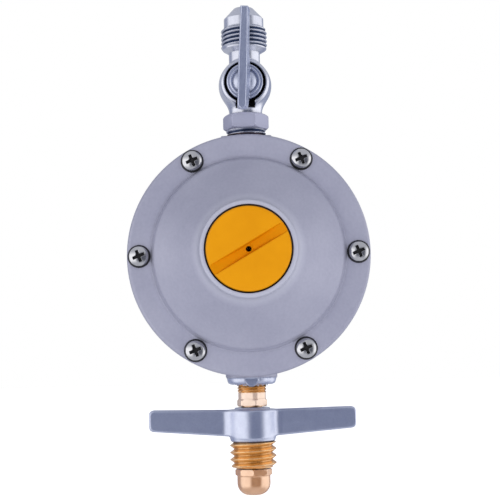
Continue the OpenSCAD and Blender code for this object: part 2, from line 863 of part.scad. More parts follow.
module inlet_nipple() {
    thread_root_r = nipple_thread_r - nipple_thread_t;
    shank_edge = 0.2;
    thread_top = body_z - nipple_top - fit_gap;
    color(pale_brass)
    difference() {
        union() {
            turned(concat(
                [[0, spigot_z], [spigot_r, spigot_z], [spigot_r, octagon_z + octagon_t],
                    [tube_r, octagon_z + octagon_t], [tube_r, shank_z],
                    [nipple_hex_w / 2, shank_z], [nipple_hex_w / 2, nipple_thread_z - shank_edge],
                    [thread_root_r, nipple_thread_z]],
                ridges(nipple_thread_z, thread_top - nipple_thread_z, nipple_pitch,
                    nipple_thread_r, thread_root_r),
                [[thread_root_r, thread_top], [0, thread_top]]));
            translate([0, 0, hex_z])
                rotate([0, 0, nipple_hex_turn])
                    prism(6, nipple_hex_w, nipple_hex_l);
        }
        translate([0, 0, spigot_z - eps])
            cylinder(r = passage_r, h = thread_top - spigot_z + 2 * eps);
    }
}

module nose_tip() {
    tip_z = -nose_l / 2 - nose_tip_l;
    tip_hole_r = 1.5;
    color(pale_brass)
    difference() {
        union() {
            turned(concat(
                [[0, tip_z]],
                arc([nose_r - nose_tip_l, -nose_l / 2], nose_tip_l, -90, 0, 8),
                [[nose_r, octagon_z + eps], [0, octagon_z + eps]]));
            translate([0, 0, octagon_z])
                prism(8, octagon_w, octagon_t - fit_gap);
        }
        translate([0, 0, spigot_z - fit_gap])
            cylinder(r = spigot_r + fit_gap, h = octagon_t + spigot_l + 2 * eps);
        translate([0, 0, tip_z - eps])
            cylinder(r = tip_hole_r, h = nose_tip_l + nose_l + eps);
    }
}

// Outline of one arm seen from the front, from the flow axis to its tip
module wing_outline() {
    top = hub_l;
    tip = wing_span - wing_round;
    wing_slope = atan((wing_root_l - wing_tip_l) / wing_span);
    polygon(concat(
        [[0, top - wing_root_l]],
        arc([tip, top - wing_tip_l + wing_round], wing_round, wing_slope - 90, 0, 6),
        arc([tip, top - wing_round], wing_round, 0, 90, 6),
        [[0, top]]));
}

// Web that rounds the corner between the hub and one side of an arm
module wing_web() {
    side_y = wing_t / 2;
    centre_y = side_y + wing_fillet;
    centre_x = sqrt(pow(hub_r + wing_fillet, 2) - centre_y * centre_y);
    a = atan2(centre_y, centre_x);
    linear_extrude(wing_root_l)
        polygon(concat(
            [[0, 0]],
            arc([centre_x, centre_y], wing_fillet, 180 + a, 270),
            [[centre_x, 0]]));
}

module wing_handle() {
    edge = 0.8;
    color(zinc_dark)
    translate([0, 0, hub_z])
    difference() {
        union() {
            turned(concat(
                [[0, 0], [hub_r + hub_draft - edge, 0], [hub_r + hub_draft, edge]],
                arc([hub_r - hub_draft - edge, hub_l - edge], edge, 0, 90, 5),
                [[hub_ring_r, hub_l], [hub_ring_r, hub_l + hub_ring_t], [0, hub_l + hub_ring_t]]));
            for (side = [0, 1])
                mirror([side, 0, 0])
                    translate([0, wing_t / 2, 0])
                        rotate([90, 0, 0])
                            linear_extrude(wing_t)
                                wing_outline();
            intersection() {
                translate([0, 0, hub_l - wing_root_l])
                    for (x = [0, 1], y = [0, 1])
                        mirror([x, 0, 0])
                            mirror([0, y, 0])
                                wing_web();
                for (side = [0, 1])
                    mirror([side, 0, 0])
                        translate([0, hub_r, 0])
                            rotate([90, 0, 0])
                                linear_extrude(2 * hub_r)
                                    wing_outline();
            }
        }
        translate([0, 0, -eps])
            cylinder(r = screw_socket_r + fit_gap, h = hub_l - hub_roof + eps);
        translate([0, 0, hub_l - hub_roof - eps])
            cylinder(r = tube_r + run_gap, h = hub_roof + hub_ring_t + 2 * eps);
    }
}

module inlet_screw() {
    shank_top = hub_top - hub_roof - fit_gap;
    color(brass)
    difference() {
        turned(concat(
            [[0, screw_z], [inlet_root_r, screw_z]],
            ridges(screw_z, inlet_thread_l, inlet_pitch, inlet_crest_r, inlet_root_r),
            [[inlet_root_r, hub_z - fit_gap], [screw_socket_r, hub_z - fit_gap],
                [screw_socket_r, shank_top], [0, shank_top]]));
        translate([0, 0, screw_z - eps])
            cylinder(r = tube_r + run_gap, h = shank_top - screw_z + 2 * eps);
    }
}

module outlet_valve_body() {
    thread_end_z = boss_top_z - outlet_thread_l;
    thread_root_r = outlet_thread_r - outlet_thread_t;
    flare_root_r = flare_r - flare_thread_t;
    notch_w = 6.4;
    color(zinc)
    difference() {
        union() {
            turned(concat(
                [[0, thread_end_z], [thread_root_r, thread_end_z]],
                ridges(thread_end_z, valve_hex_z - thread_end_z, outlet_pitch,
                    outlet_thread_r, thread_root_r),
                [[thread_root_r, valve_hex_z + eps], [0, valve_hex_z + eps]]));
            translate([0, 0, valve_hex_z])
                rotate([0, 0, valve_hex_turn])
                    prism(6, valve_hex_w, valve_hex_l);
            turned(concat(
                [[0, valve_hex_top - eps], [waist_r, valve_hex_top - eps], [waist_r, ball_z],
                    [neck_r, ball_z], [neck_r, neck_top], [flare_root_r, flare_z]],
                ridges(flare_z, flare_thread_l, flare_pitch, flare_r, flare_root_r),
                [[flare_root_r, flare_nose_z], [flare_nose_r, flare_nose_z], [flare_nose_r, cone_z],
                    [flare_mouth_r, flare_tip_z], [0, flare_tip_z]]));
            translate([0, 0, ball_z])
                sphere(r = ball_r);
            valve_frame()
                cylinder(r = rim_r, h = rim_front);
        }
        translate([0, 0, thread_end_z - eps])
            cylinder(r = outlet_passage_r, h = flare_tip_z - thread_end_z + 2 * eps);
        valve_frame() {
            translate([0, 0, -plug_back])
                cylinder(r = plug_bore_r, h = plug_back + rim_front);
            translate([0, 0, counter_y])
                cylinder(r = counter_r, h = rim_front);
            translate([0, 0, clip_y])
                cylinder(r = clip_r + fit_gap, h = clip_t + fit_gap);
            translate([-notch_w / 2, -rim_r - fit_gap, counter_y])
                cube([notch_w, rim_r + fit_gap, rim_front]);
            translate([0, stop_ring, plug_l])
                cylinder(r = stop_r + fit_gap, h = rim_front);
        }
    }
}

// Plug with a cross port, two grooves and a square stem
module valve_plug() {
    groove_play = 0.12;
    port_step = 0.1;
    groove_l = 2 * oring_r + groove_play;
    color(brass)
    valve_frame()
    difference() {
        union() {
            translate([0, 0, -plug_back + pass_gap])
                cylinder(r = plug_r, h = plug_back - pass_gap + plug_l);
            translate([-stem_w / 2, -stem_w / 2, 0])
                cube([stem_w, stem_w, stem_front]);
        }
        for (y = [-oring_y, oring_y])
            translate([0, 0, y - groove_l / 2])
                difference() {
                    cylinder(r = plug_r + eps, h = groove_l);
                    cylinder(r = plug_r - 2 * oring_r, h = groove_l);
                }
        translate([0, -plug_r - eps, 0])
            rotate([-90, 0, 0])
                cylinder(r = outlet_passage_r - port_step, h = 2 * plug_r + 2 * eps);
    }
}

module plug_orings() {
    squeeze = 0.03;
    slack = 0.01;
    color(rubber)
    valve_frame()
    for (y = [-oring_y, oring_y])
        translate([0, 0, y])
            rotate_extrude()
                translate([plug_r - oring_r + squeeze, 0])
                    circle(r = oring_r - slack, $fn = 32);
}

// Spring ring that keeps the plug in, with a gap at its top
module plug_retainer() {
    color(steel)
    valve_frame()
    translate([0, 0, clip_y + fit_gap / 2])
    difference() {
        cylinder(r = clip_r, h = clip_t);
        translate([0, 0, -eps])
            cylinder(r = clip_bore_r, h = clip_t + 2 * eps);
        translate([-clip_split / 2, 0, -eps])
            cube([clip_split, 2 * clip_r, clip_t + 2 * eps]);
    }
}

module stop_pin() {
    color(steel)
    valve_frame()
    translate([0, stop_ring, plug_l + fit_gap])
        cylinder(r = stop_r, h = base_y - plug_l + stop_reach);
}

// Side view of the blade: [forward, up] about the lever's axis
module blade_outline() {
    round_up = 1.6;
    round_down = 2.4;
    root_down = 6.5;
    root_up = 4.2;
    neck_up = 8;
    heel = 2;
    polygon(concat(
        [[blade_y - eps, -root_down], [lever_back, -lever_down + heel]],
        arc([lever_front - round_down, round_down - lever_down], round_down, -90, 0, 6),
        arc([lever_front - round_up, lever_up - round_up], round_up, 0, 90, 6),
        arc([lever_back + round_up, lever_up - round_up], round_up, 90, 180, 6),
        [[lever_back, neck_up], [blade_y - eps, root_up]]));
}

module valve_lever() {
    socket_w = stem_w + 2 * fit_gap;
    sweep = 90;
    margin = asin((stop_r + pass_gap) / stop_ring);
    color(zinc_dark)
    valve_frame()
    difference() {
        union() {
            for (i = [0 : len(base_steps) - 1])
                translate([0, 0, base_y])
                    cylinder(r = base_steps[i][0], h = base_steps[i][1] - base_y);
            intersection() {
                translate([lever_root_t, 0, 0])
                    rotate([0, -90, 0])
                        linear_extrude(2 * lever_root_t)
                            blade_outline();
                translate([0, -lever_down, 0])
                    rotate([-90, 0, 0])
                        linear_extrude(lever_up + lever_down)
                            polygon([[-lever_root_t / 2, -base_y], [lever_root_t / 2, -base_y],
                                [lever_edge_t / 2, -lever_front], [-lever_edge_t / 2, -lever_front]]);
            }
        }
        translate([-socket_w / 2, -socket_w / 2, base_y - eps])
            cube([socket_w, socket_w, stem_front - base_y + eps + fit_gap]);
        translate([0, 0, base_y - eps])
            rotate([0, 0, 90 - sweep - margin])
                rotate_extrude(angle = sweep + 2 * margin)
                    translate([stop_ring - stop_r - pass_gap, 0])
                        square([base_r, stop_groove_t + eps]);
    }
}

rear_body();
front_cover();
cover_screws();
diaphragm();
diaphragm_plate();
diaphragm_washer();
diaphragm_post();
main_spring();
spring_seat();
adjusting_screw();
vent_cap();
cap_seal();
relay_lever();
lever_pin();
poppet();
seat_pad();
inlet_nozzle();
inlet_nipple();
nose_tip();
wing_handle();
inlet_screw();
outlet_valve_body();
valve_plug();
plug_orings();
plug_retainer();
stop_pin();
valve_lever();
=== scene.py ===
"""Looks of a low-pressure gas regulator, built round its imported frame.

Lengths are in millimetres until a mesh is made, and metres after that.
Z runs up the flow axis, X to the right and -Y out of the front.
"""
import json
import math

import bmesh
import bpy
import numpy as np
from mathutils import Matrix, Vector


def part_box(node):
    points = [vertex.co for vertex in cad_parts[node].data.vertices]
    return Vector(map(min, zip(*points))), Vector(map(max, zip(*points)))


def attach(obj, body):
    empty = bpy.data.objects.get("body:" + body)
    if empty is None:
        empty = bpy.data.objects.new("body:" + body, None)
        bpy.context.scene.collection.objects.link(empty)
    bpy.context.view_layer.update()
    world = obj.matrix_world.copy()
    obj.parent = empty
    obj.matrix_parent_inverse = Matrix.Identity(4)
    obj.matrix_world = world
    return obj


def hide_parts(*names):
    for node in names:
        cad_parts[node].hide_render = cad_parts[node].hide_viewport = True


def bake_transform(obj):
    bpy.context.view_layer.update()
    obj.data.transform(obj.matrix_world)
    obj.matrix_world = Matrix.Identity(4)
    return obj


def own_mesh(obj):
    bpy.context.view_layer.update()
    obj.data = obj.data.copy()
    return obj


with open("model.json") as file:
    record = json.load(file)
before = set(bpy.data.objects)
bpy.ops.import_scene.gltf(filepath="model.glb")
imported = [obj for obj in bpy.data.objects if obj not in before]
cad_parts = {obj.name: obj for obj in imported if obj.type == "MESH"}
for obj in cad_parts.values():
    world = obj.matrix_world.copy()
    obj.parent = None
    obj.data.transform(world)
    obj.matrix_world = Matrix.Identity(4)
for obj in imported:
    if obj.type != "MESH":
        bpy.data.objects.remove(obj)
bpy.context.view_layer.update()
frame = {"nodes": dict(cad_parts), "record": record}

MM = 0.001
TAU = 2 * math.pi


def span(node):
    """Lowest and highest corner of a node, in mm."""
    lo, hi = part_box(node)
    return [v / MM for v in lo], [v / MM for v in hi]


# Places taken from the frame
COVER_LO, COVER_HI = span("front_cover")
REAR_LO, REAR_HI = span("rear_body")
CAP_LO, CAP_HI = span("vent_cap")
SEAL_LO, SEAL_HI = span("cap_seal")
WING_LO, WING_HI = span("wing_handle")
SCREW_LO, SCREW_HI = span("inlet_screw")
NIPPLE_LO, NIPPLE_HI = span("inlet_nipple")
NOSE_LO, NOSE_HI = span("nose_tip")
VALVE_LO, VALVE_HI = span("outlet_valve_body")
LEVER_LO, LEVER_HI = span("valve_lever")
PIN_LO, PIN_HI = span("stop_pin")
SPRING_LO, SPRING_HI = span("main_spring")

# Housing
BODY_Z = (COVER_LO[2] + COVER_HI[2]) / 2
FLANGE_R = (COVER_HI[0] - COVER_LO[0]) / 2
FLANGE_T = 4.0
JOINT_H = -REAR_LO[1]
COVER_H = -COVER_HI[1]
RIM_H = -COVER_LO[1]
REAR_H = -REAR_HI[1]
WALL = 2.6
CHAMBER_R = 30.4
BOWL_R = CHAMBER_R + WALL
BOSS_R = 8.7
BOSS_TOP = REAR_HI[2]
BOSS_RING_Z = REAR_LO[2]
BOSS_END_Z = BOSS_RING_Z + 0.75
BOSS_FALL = 0.17
SCREW_PCR = 35.9
SCREW_N = 6

# Cover
STEP_R = 31.8
STEP_RISE = 1.8
SHOULDER_R = 3.0
DOME_SLOPE = math.radians(39)
COLLAR_R = 15.5
COLLAR_FILLET = 4.0
COUNTERBORE_R = 14.0
LEDGE_H = RIM_H - 4.0
COLLAR_BORE_R = 12.7
TOWER_R = COLLAR_BORE_R + 2.4
TOWER_H = 23.49

# Inlet
TUBE_BORE_R = 3.47
TIP_BORE_R = 1.5
PASSAGE_R = 1.8

# Valve
BALL_R = 8.8
BALL_Z = VALVE_HI[2] - 27.25
HEX_Z = BOSS_TOP + 1.75
HEX_TOP = HEX_Z + 5.2
FLARE_Z = 147.2
FLARE_END = 154.65
FLARE_R = 7.94
FLARE_PITCH = 1.41
VALVE_TIP = VALVE_HI[2]
RIM_FRONT = 7.0
NOTCH_DEPTH = 2.4
GAP_R = 7.0
HEX_TURN = math.radians(-6)


def arc(cx, cy, r, a0, a1, n=8):
    """Points of an arc, with its angles in degrees."""
    steps = [math.radians(a0 + (a1 - a0) * i / n) for i in range(n + 1)]
    return [(cx + r * math.cos(a), cy + r * math.sin(a)) for a in steps]


def fine(points, near=0.12, most=1.6):
    """The closed outline with support points near the ends of its long sides."""
    out = []
    for a, b in zip(points, points[1:] + points[:1]):
        long = math.dist(a, b)
        cuts = [0.0]
        if long > 4 * near:
            inner = max(1, math.ceil((long - 2 * near) / most))
            cuts += [(near + (long - 2 * near) * k / inner) / long for k in range(inner + 1)]
        out += [(a[0] + (b[0] - a[0]) * t, a[1] + (b[1] - a[1]) * t) for t in cuts]
    return out


# Where a point of an outline goes, about the flow axis or the housing's axis
PLACES = {
    "flow": lambda r, h, a: (r * math.cos(a), r * math.sin(a), h),
    "body": lambda r, h, a: (r * math.cos(a), -h, BODY_Z + r * math.sin(a)),
}


def spin(name, outline, about="flow", n=192, shape=None, sharp=38):
    """Mesh turned from a closed outline of (radius, height) points.

    shape changes a radius round the turn, and edges past sharp degrees stay sharp.
    """
    place = PLACES[about]
    verts = []
    for r, h in outline:
        for k in range(n):
            a = TAU * k / n
            verts.append([c * MM for c in place(shape(r, h, a) if shape else r, h, a)])
    faces = []
    for i in range(len(outline)):
        low = i * n
        high = (i + 1) % len(outline) * n
        for k in range(n):
            m = (k + 1) % n
            faces.append((low + k, low + m, high + m, high + k))
    mesh = bpy.data.meshes.new(name)
    mesh.from_pydata(verts, [], faces)
    bm = bmesh.new()
    bm.from_mesh(mesh)
    bmesh.ops.recalc_face_normals(bm, faces=bm.faces)
    bm.to_mesh(mesh)
    bm.free()
    mesh.shade_smooth()
    mesh.set_sharp_from_angle(angle=math.radians(sharp))
    return mesh


# Distance fields for cast shapes, negative inside

def low_blend(a, b, k):
    """Union with a fillet of about k."""
    h = np.maximum(k - np.abs(a - b), 0) / k
    return np.minimum(a, b) - h * h * k / 4


def high_blend(a, b, k):
    """Intersection with an edge rounded by about k."""
    return -low_blend(-a, -b, k)


def corner(u, v, round_r):
    """Field of the corner u < 0, v < 0 with a rounded edge."""
    u = u + round_r
    v = v + round_r
    return np.minimum(np.maximum(u, v), 0) + np.hypot(np.maximum(u, 0), np.maximum(v, 0)) - round_r


def polygon(u, v, points):
    """Signed distance to a closed polygon."""
    near = np.full(np.shape(u), 1e9)
    inside = np.zeros(np.shape(u), bool)
    for (ax, ay), (bx, by) in zip(points, points[-1:] + points[:-1]):
        ex, ey = bx - ax, by - ay
        wx, wy = u - ax, v - ay
        t = np.clip((wx * ex + wy * ey) / (ex * ex + ey * ey), 0, 1)
        near = np.minimum(near, (wx - ex * t) ** 2 + (wy - ey * t) ** 2)
        up = v >= ay
        low = v < by
        cross = ex * wy > ey * wx
        inside ^= (up & low & cross) | (~up & ~low & ~cross)
    return np.where(inside, -1, 1) * np.sqrt(near)


def ridge(z, angle, pitch, flat):
    """Height of a right-hand thread from 0 at its root to 1 at its crest."""
    phase = np.mod(z / pitch - angle / TAU, 1)
    wave = 1 - np.abs(2 * phase - 1)
    return np.clip((wave - flat) / (1 - 2 * flat), 0, 1)


def slope_of(field, places, step):
    """Gradient of a field at places."""
    out = []
    for axis in range(3):
        shift = np.zeros(3)
        shift[axis] = step
        out.append((field(*(places + shift).T) - field(*(places - shift).T)) / (2 * step))
    return np.stack(out, 1)


def settle(field, places, cell, rounds=3):
    """Moves places onto the zero surface of a field, by half a cell at most."""
    start = places
    for _ in range(rounds):
        slope = slope_of(field, places, cell * 0.25)
        value = field(*places.T)[:, None]
        move = value * slope / np.maximum((slope ** 2).sum(1), 0.25)[:, None]
        places = start + np.clip(places - move - start, -cell / 2, cell / 2)
    return places


def cast(name, field, lo, hi, cell, keep=0.35):
    """Mesh of the zero surface of a field, on a grid of cells, thinned to a share of its faces.

    The grid starts off the box's corner, so that no flat face of the shape lies in a grid plane.
    """
    grid = [np.arange(a - 1.63 * cell, b + 2.5 * cell, cell) for a, b in zip(lo, hi)]
    value = field(*np.meshgrid(*grid, indexing="ij"))
    solid = value < 0
    size = tuple(m - 1 for m in value.shape)
    corners = [(i, j, k) for i in (0, 1) for j in (0, 1) for k in (0, 1)]

    def at(a, i, j, k):
        return a[i:size[0] + i, j:size[1] + j, k:size[2] + k]

    count = sum(at(solid, *c).astype(np.uint8) for c in corners)
    active = (count > 0) & (count < 8)
    number = np.cumsum(active.ravel()).reshape(size) - 1
    cells = np.argwhere(active)
    total = np.zeros((len(cells), 3))
    hits = np.zeros(len(cells))
    for a in corners:
        for axis in range(3):
            if a[axis]:
                continue
            b = tuple(1 if i == axis else a[i] for i in range(3))
            va = at(value, *a)[active]
            vb = at(value, *b)[active]
            hit = (va < 0) != (vb < 0)
            t = np.where(hit, va / np.where(hit, va - vb, 1), 0)
            total += (np.array(a) + np.outer(t, np.eye(3)[axis])) * hit[:, None]
            hits += hit
    origin = np.array([g[0] for g in grid])
    places = (cells + total / hits[:, None]) * cell + origin
    places = settle(field, places, cell)

    quads = []
    for axis in range(3):
        one, two = (axis + 1) % 3, (axis + 2) % 3
        here = [slice(1, -1)] * 3
        here[axis] = slice(0, -1)
        ahead = [slice(1, -1)] * 3
        ahead[axis] = slice(1, None)
        low_in = solid[tuple(here)]
        high_in = solid[tuple(ahead)]
        for out_of, order in ((low_in & ~high_in, 1), (~low_in & high_in, -1)):
            at_edge = np.argwhere(out_of) + 1
            at_edge[:, axis] -= 1
            ring = []
            for d1, d2 in ((-1, -1), (0, -1), (0, 0), (-1, 0))[::order]:
                c = at_edge.copy()
                c[:, one] += d1
                c[:, two] += d2
                ring.append(number[tuple(c.T)])
            quads.append(np.stack(ring, 1))
    mesh = bpy.data.meshes.new(name)
    mesh.from_pydata((places * MM).tolist(), [], np.concatenate(quads).tolist())
    mesh = thinned(mesh, keep)
    count = len(mesh.vertices)
    numbers = np.empty(count * 3)
    mesh.vertices.foreach_get("co", numbers)
    places = settle(field, numbers.reshape(-1, 3) / MM, cell * 0.5, 2)
    mesh.vertices.foreach_set("co", (places * MM).ravel())
    slope = slope_of(field, places, cell * 0.3)
    normals = slope / np.maximum(np.linalg.norm(slope, axis=1), 1e-9)[:, None]
    mesh.shade_smooth()
    mesh.normals_split_custom_set_from_vertices(normals.tolist())
    return mesh


def thinned(mesh, keep):
    """The mesh with a share of its faces, fewest where it is flat."""
    obj = bpy.data.objects.new("thinning", mesh)
    bpy.context.scene.collection.objects.link(obj)
    step = obj.modifiers.new("thin", "DECIMATE")
    step.decimate_type = "COLLAPSE"
    step.ratio = keep
    out = bpy.data.meshes.new_from_object(obj.evaluated_get(bpy.context.evaluated_depsgraph_get()))
    out.name = mesh.name
    bpy.data.objects.remove(obj)
    return out


# Materials

def nodes_of(name):
    """A new material with its node tree and main shader."""
    mat = bpy.data.materials.new(name)
    mat.use_nodes = True
    tree = mat.node_tree
    return mat, tree, tree.nodes["Principled BSDF"]


def add_node(tree, kind, **values):
    """A new node, with values for its inputs or its own settings."""
    node = tree.nodes.new(kind)
    for key, value in values.items():
        if key in node.inputs:
            node.inputs[key].default_value = value
        else:
            setattr(node, key, value)
    return node


def feed(tree, socket, value):
    """Links an output to a socket, or sets a plain value on it."""
    if isinstance(value, bpy.types.NodeSocket):
        tree.links.new(value, socket)
    else:
        socket.default_value = value


def calc(tree, operation, *values):
    """Result of a math node."""
    node = add_node(tree, "ShaderNodeMath", operation=operation)
    for socket, value in zip(node.inputs, values):
        feed(tree, socket, value)
    return node.outputs[0]


def vector(tree, operation, first, other=None):
    """Result of a vector math node, which is a number for LENGTH."""
    node = add_node(tree, "ShaderNodeVectorMath", operation=operation)
    feed(tree, node.inputs[0], first)
    if operation == "LENGTH":
        return node.outputs["Value"]
    feed(tree, node.inputs["Scale" if operation == "SCALE" else 1], other)
    return node.outputs[0]


def remap(tree, value, start=(0, 1), end=(0, 1)):
    """A value taken from one range to another, and held at its ends."""
    node = add_node(tree, "ShaderNodeMapRange")
    for name, number in zip(("From Min", "From Max", "To Min", "To Max"), (*start, *end)):
        node.inputs[name].default_value = number
    feed(tree, node.inputs["Value"], value)
    return node.outputs["Result"]


def ramp(tree, value, stops):
    """Colour of a value, from (value, colour) stops."""
    node = add_node(tree, "ShaderNodeValToRGB")
    spots = node.color_ramp.elements
    while len(spots) < len(stops):
        spots.new(0.5)
    for spot, (place, colour) in zip(spots, stops):
        spot.position = place
        spot.color = (*colour, 1)
    feed(tree, node.inputs["Fac"], value)
    return node.outputs["Color"]


def mixed(tree, share, colour, other):
    """The colour, with a share of another one."""
    node = add_node(tree, "ShaderNodeMix", data_type="RGBA")
    feed(tree, node.inputs[0], share)
    feed(tree, node.inputs[6], colour)
    node.inputs[7].default_value = (*other, 1)
    return node.outputs[2]


def noise(tree, scale, detail=3.0, stretch=(1, 1, 1)):
    """Noise in the object's own space, with scale in waves to the mm."""
    coord = add_node(tree, "ShaderNodeTexCoord")
    place = add_node(tree, "ShaderNodeMapping")
    place.inputs["Scale"].default_value = [s / MM for s in stretch]
    wave = add_node(tree, "ShaderNodeTexNoise", Scale=scale, Detail=detail)
    tree.links.new(coord.outputs["Object"], place.inputs["Vector"])
    tree.links.new(place.outputs["Vector"], wave.inputs["Vector"])
    return wave.outputs["Fac"]


def tinted(tree, value, dark, light):
    """Colour that runs from dark to light with a noise value."""
    return ramp(tree, value, [(0.32, dark), (0.68, light)])


def shaded(tree, colour, reach, least):
    """The colour with painted shade, darker in grooves and corners less than reach mm wide."""
    open_sky = add_node(tree, "ShaderNodeAmbientOcclusion", samples=4, Distance=reach * MM)
    return vector(tree, "SCALE", colour, remap(tree, open_sky.outputs["AO"], (0.3, 0.85), (least, 1)))


def place_of(tree):
    """Where a point of the surface is, in mm.

    x, z and out are measured along the axes, flow from the flow axis and reach from the lever's axis.
    """
    coord = add_node(tree, "ShaderNodeTexCoord")
    large = vector(tree, "SCALE", coord.outputs["Object"], 1 / MM)
    axes = add_node(tree, "ShaderNodeSeparateXYZ")
    tree.links.new(large, axes.inputs[0])
    found = {"x": axes.outputs["X"], "z": axes.outputs["Z"]}
    found["out"] = calc(tree, "MULTIPLY", axes.outputs["Y"], -1)
    for name, centre, share in (("flow", (0, 0, 0), (1, 1, 0)), ("reach", (0, 0, BALL_Z), (1, 0, 1))):
        near = vector(tree, "SUBTRACT", large, centre)
        found[name] = vector(tree, "LENGTH", vector(tree, "MULTIPLY", near, share))
    return found


def zone(tree, limits, soft=0.1):
    """1 where a point is within all limits and 0 elsewhere.

    Limits are (low, high) by the names of place_of, and soft is half the width of the edge.
    """
    at = place_of(tree)
    whole = None
    for name, ends in limits.items():
        for end, sign in zip(ends, (1, -1)):
            edge = remap(tree, at[name], (end - sign * soft, end + sign * soft))
            whole = edge if whole is None else calc(tree, "MULTIPLY", whole, edge)
    return whole


def marked(tree, colour, marks):
    """The colour, with other colours in some zones."""
    for tint, limits in marks:
        colour = mixed(tree, zone(tree, limits), colour, tint)
    return colour


def radius_highlight(tree, colour, bright, rings):
    """The colour with a painted highlight at some radii about the housing's axis. rings has (radius, share
    of bright).
    """
    coord = add_node(tree, "ShaderNodeTexCoord")
    near = vector(tree, "SUBTRACT", coord.outputs["Object"], (0, 0, BODY_Z * MM))
    flat = vector(tree, "MULTIPLY", near, (1 / (FLANGE_R * MM), 0, 1 / (FLANGE_R * MM)))
    stops = [(radius / FLANGE_R, (share, share, share)) for radius, share in rings]
    return mixed(tree, ramp(tree, vector(tree, "LENGTH", flat), stops), colour, bright)


MATT_SHARE = 0.85


def surface(name, dark, light, metallic, rough, mottle, grain, depth, groove=None, lines=None,
            line_depth=0.0, speck=None, painted_halo=None, haze=None, sheen=0.5, marks=(), matt=None):
    """Finish with mottled colour, uneven roughness, fine grain and, on turned parts, tool lines, with
    painted shade in grooves and corners and, where painted_halo is given, a painted highlight at some
    radii.

    mottle, grain and speck have waves to the mm, and depth and line_depth are in mm.
    haze is the colour and the share of a dull film over bright metal.
    marks are (colour, limits) for marked, and matt has the limits of a zone where the film is thick.
    """
    mat, tree, shader = nodes_of(name)
    shader.inputs["Metallic"].default_value = metallic
    shader.inputs["Specular IOR Level"].default_value = sheen
    cloud = noise(tree, mottle)
    if speck:
        size, part = speck
        smooth = calc(tree, "MULTIPLY", cloud, 1 - part)
        cloud = calc(tree, "MULTIPLY_ADD", noise(tree, size, 4.0), part, smooth)
    colour = tinted(tree, cloud, dark, light)
    if painted_halo:
        colour = radius_highlight(tree, colour, *painted_halo)
    if groove:
        colour = shaded(tree, colour, *groove)
    tree.links.new(marked(tree, colour, marks), shader.inputs["Base Color"])
    tree.links.new(remap(tree, noise(tree, mottle * 2.3), (0.3, 0.7), rough), shader.inputs["Roughness"])
    bump = add_node(tree, "ShaderNodeBump", Strength=1.0, Distance=depth * MM)
    tree.links.new(noise(tree, grain), bump.inputs["Height"])
    if lines:
        turn = add_node(tree, "ShaderNodeBump", Strength=1.0, Distance=line_depth * MM)
        tree.links.new(noise(tree, 1.0, 2.0, lines), turn.inputs["Height"])
        tree.links.new(turn.outputs["Normal"], bump.inputs["Normal"])
    tree.links.new(bump.outputs["Normal"], shader.inputs["Normal"])
    if haze:
        tint, share = haze
        film = add_node(tree, "ShaderNodeBsdfDiffuse")
        dull = tinted(tree, cloud, [0.9 * c for c in tint], tint)
        if groove:
            dull = shaded(tree, dull, *groove)
        tree.links.new(marked(tree, dull, marks), film.inputs["Color"])
        tree.links.new(bump.outputs["Normal"], film.inputs["Normal"])
        blend = add_node(tree, "ShaderNodeMixShader")
        if matt:
            share = remap(tree, zone(tree, matt), (0, 1), (share, MATT_SHARE))
        feed(tree, blend.inputs[0], share)
        tree.links.new(shader.outputs[0], blend.inputs[1])
        tree.links.new(film.outputs[0], blend.inputs[2])
        tree.links.new(blend.outputs[0], tree.nodes["Material Output"].inputs["Surface"])
    return mat


# Painted highlight: a bright halo on the collar's fillet and a thin bright line at the step, as (radius,
# share) rings.
HALO_HIGHLIGHT = ((0.70, 0.71, 0.82), [
    (0, 0), (13.9, 0), (14.4, 0.45), (15.2, 0.55), (16.2, 0.4), (18.5, 0),
    (31.1, 0), (31.6, 0.25), (32.0, 0), (40, 0)])
# Painted shade: dark blue in the roots of the valve's threads.
ROOT_PAINTED_SHADE = (0.05, 0.075, 0.15)
SEALANT = (0.28, 0.15, 0.10)
# Painted shadow: black in the ring gap and the notch round the lever's base.
GAP_PAINTED_SHADOW = (0.010, 0.010, 0.011)
HEX_GREY = (0.49, 0.50, 0.64)
HEX_ZONE = {"z": (HEX_Z - 0.1, HEX_TOP + 0.1)}
# Marks on the valve: the hexagon's own grey, painted shade in the thread roots, a sealant line and painted
# shadow in the lever's gap and notch.
VALVE_MARKS = [
    (HEX_GREY, HEX_ZONE),
    (ROOT_PAINTED_SHADE, {"z": (FLARE_Z + 0.5, FLARE_END - 0.3), "flow": (0, FLARE_R - 0.42)}),
    (ROOT_PAINTED_SHADE, {"z": (0, HEX_Z - 0.2), "flow": (0, 6.42)}),
    (SEALANT, {"z": (BOSS_TOP - 0.4, BOSS_TOP - 0.15), "flow": (0, 7)}),
    (GAP_PAINTED_SHADOW, {"reach": (0, GAP_R + 0.1), "out": (3.2, RIM_FRONT - 0.45)}),
    (GAP_PAINTED_SHADOW, {"x": (-3.3, 3.3), "z": (BALL_Z - 8.7, BALL_Z - 5.5),
                 "out": (RIM_FRONT - NOTCH_DEPTH - 0.3, RIM_FRONT - 0.45)}),
]
# groove is (reach, least) of the painted shade that darkens grooves and corners in each finish.
ZINC = dict(dark=(0.37, 0.375, 0.49), light=(0.46, 0.465, 0.58), metallic=0.1, rough=(0.36, 0.46),
            mottle=0.05, grain=2.6, depth=0.015, groove=(1.5, 0.5), speck=(1.1, 0.35))
TURNED = dict(metallic=1.0, grain=1.5, depth=0.002, lines=(0.15, 0.15, 3.0), line_depth=0.0015)
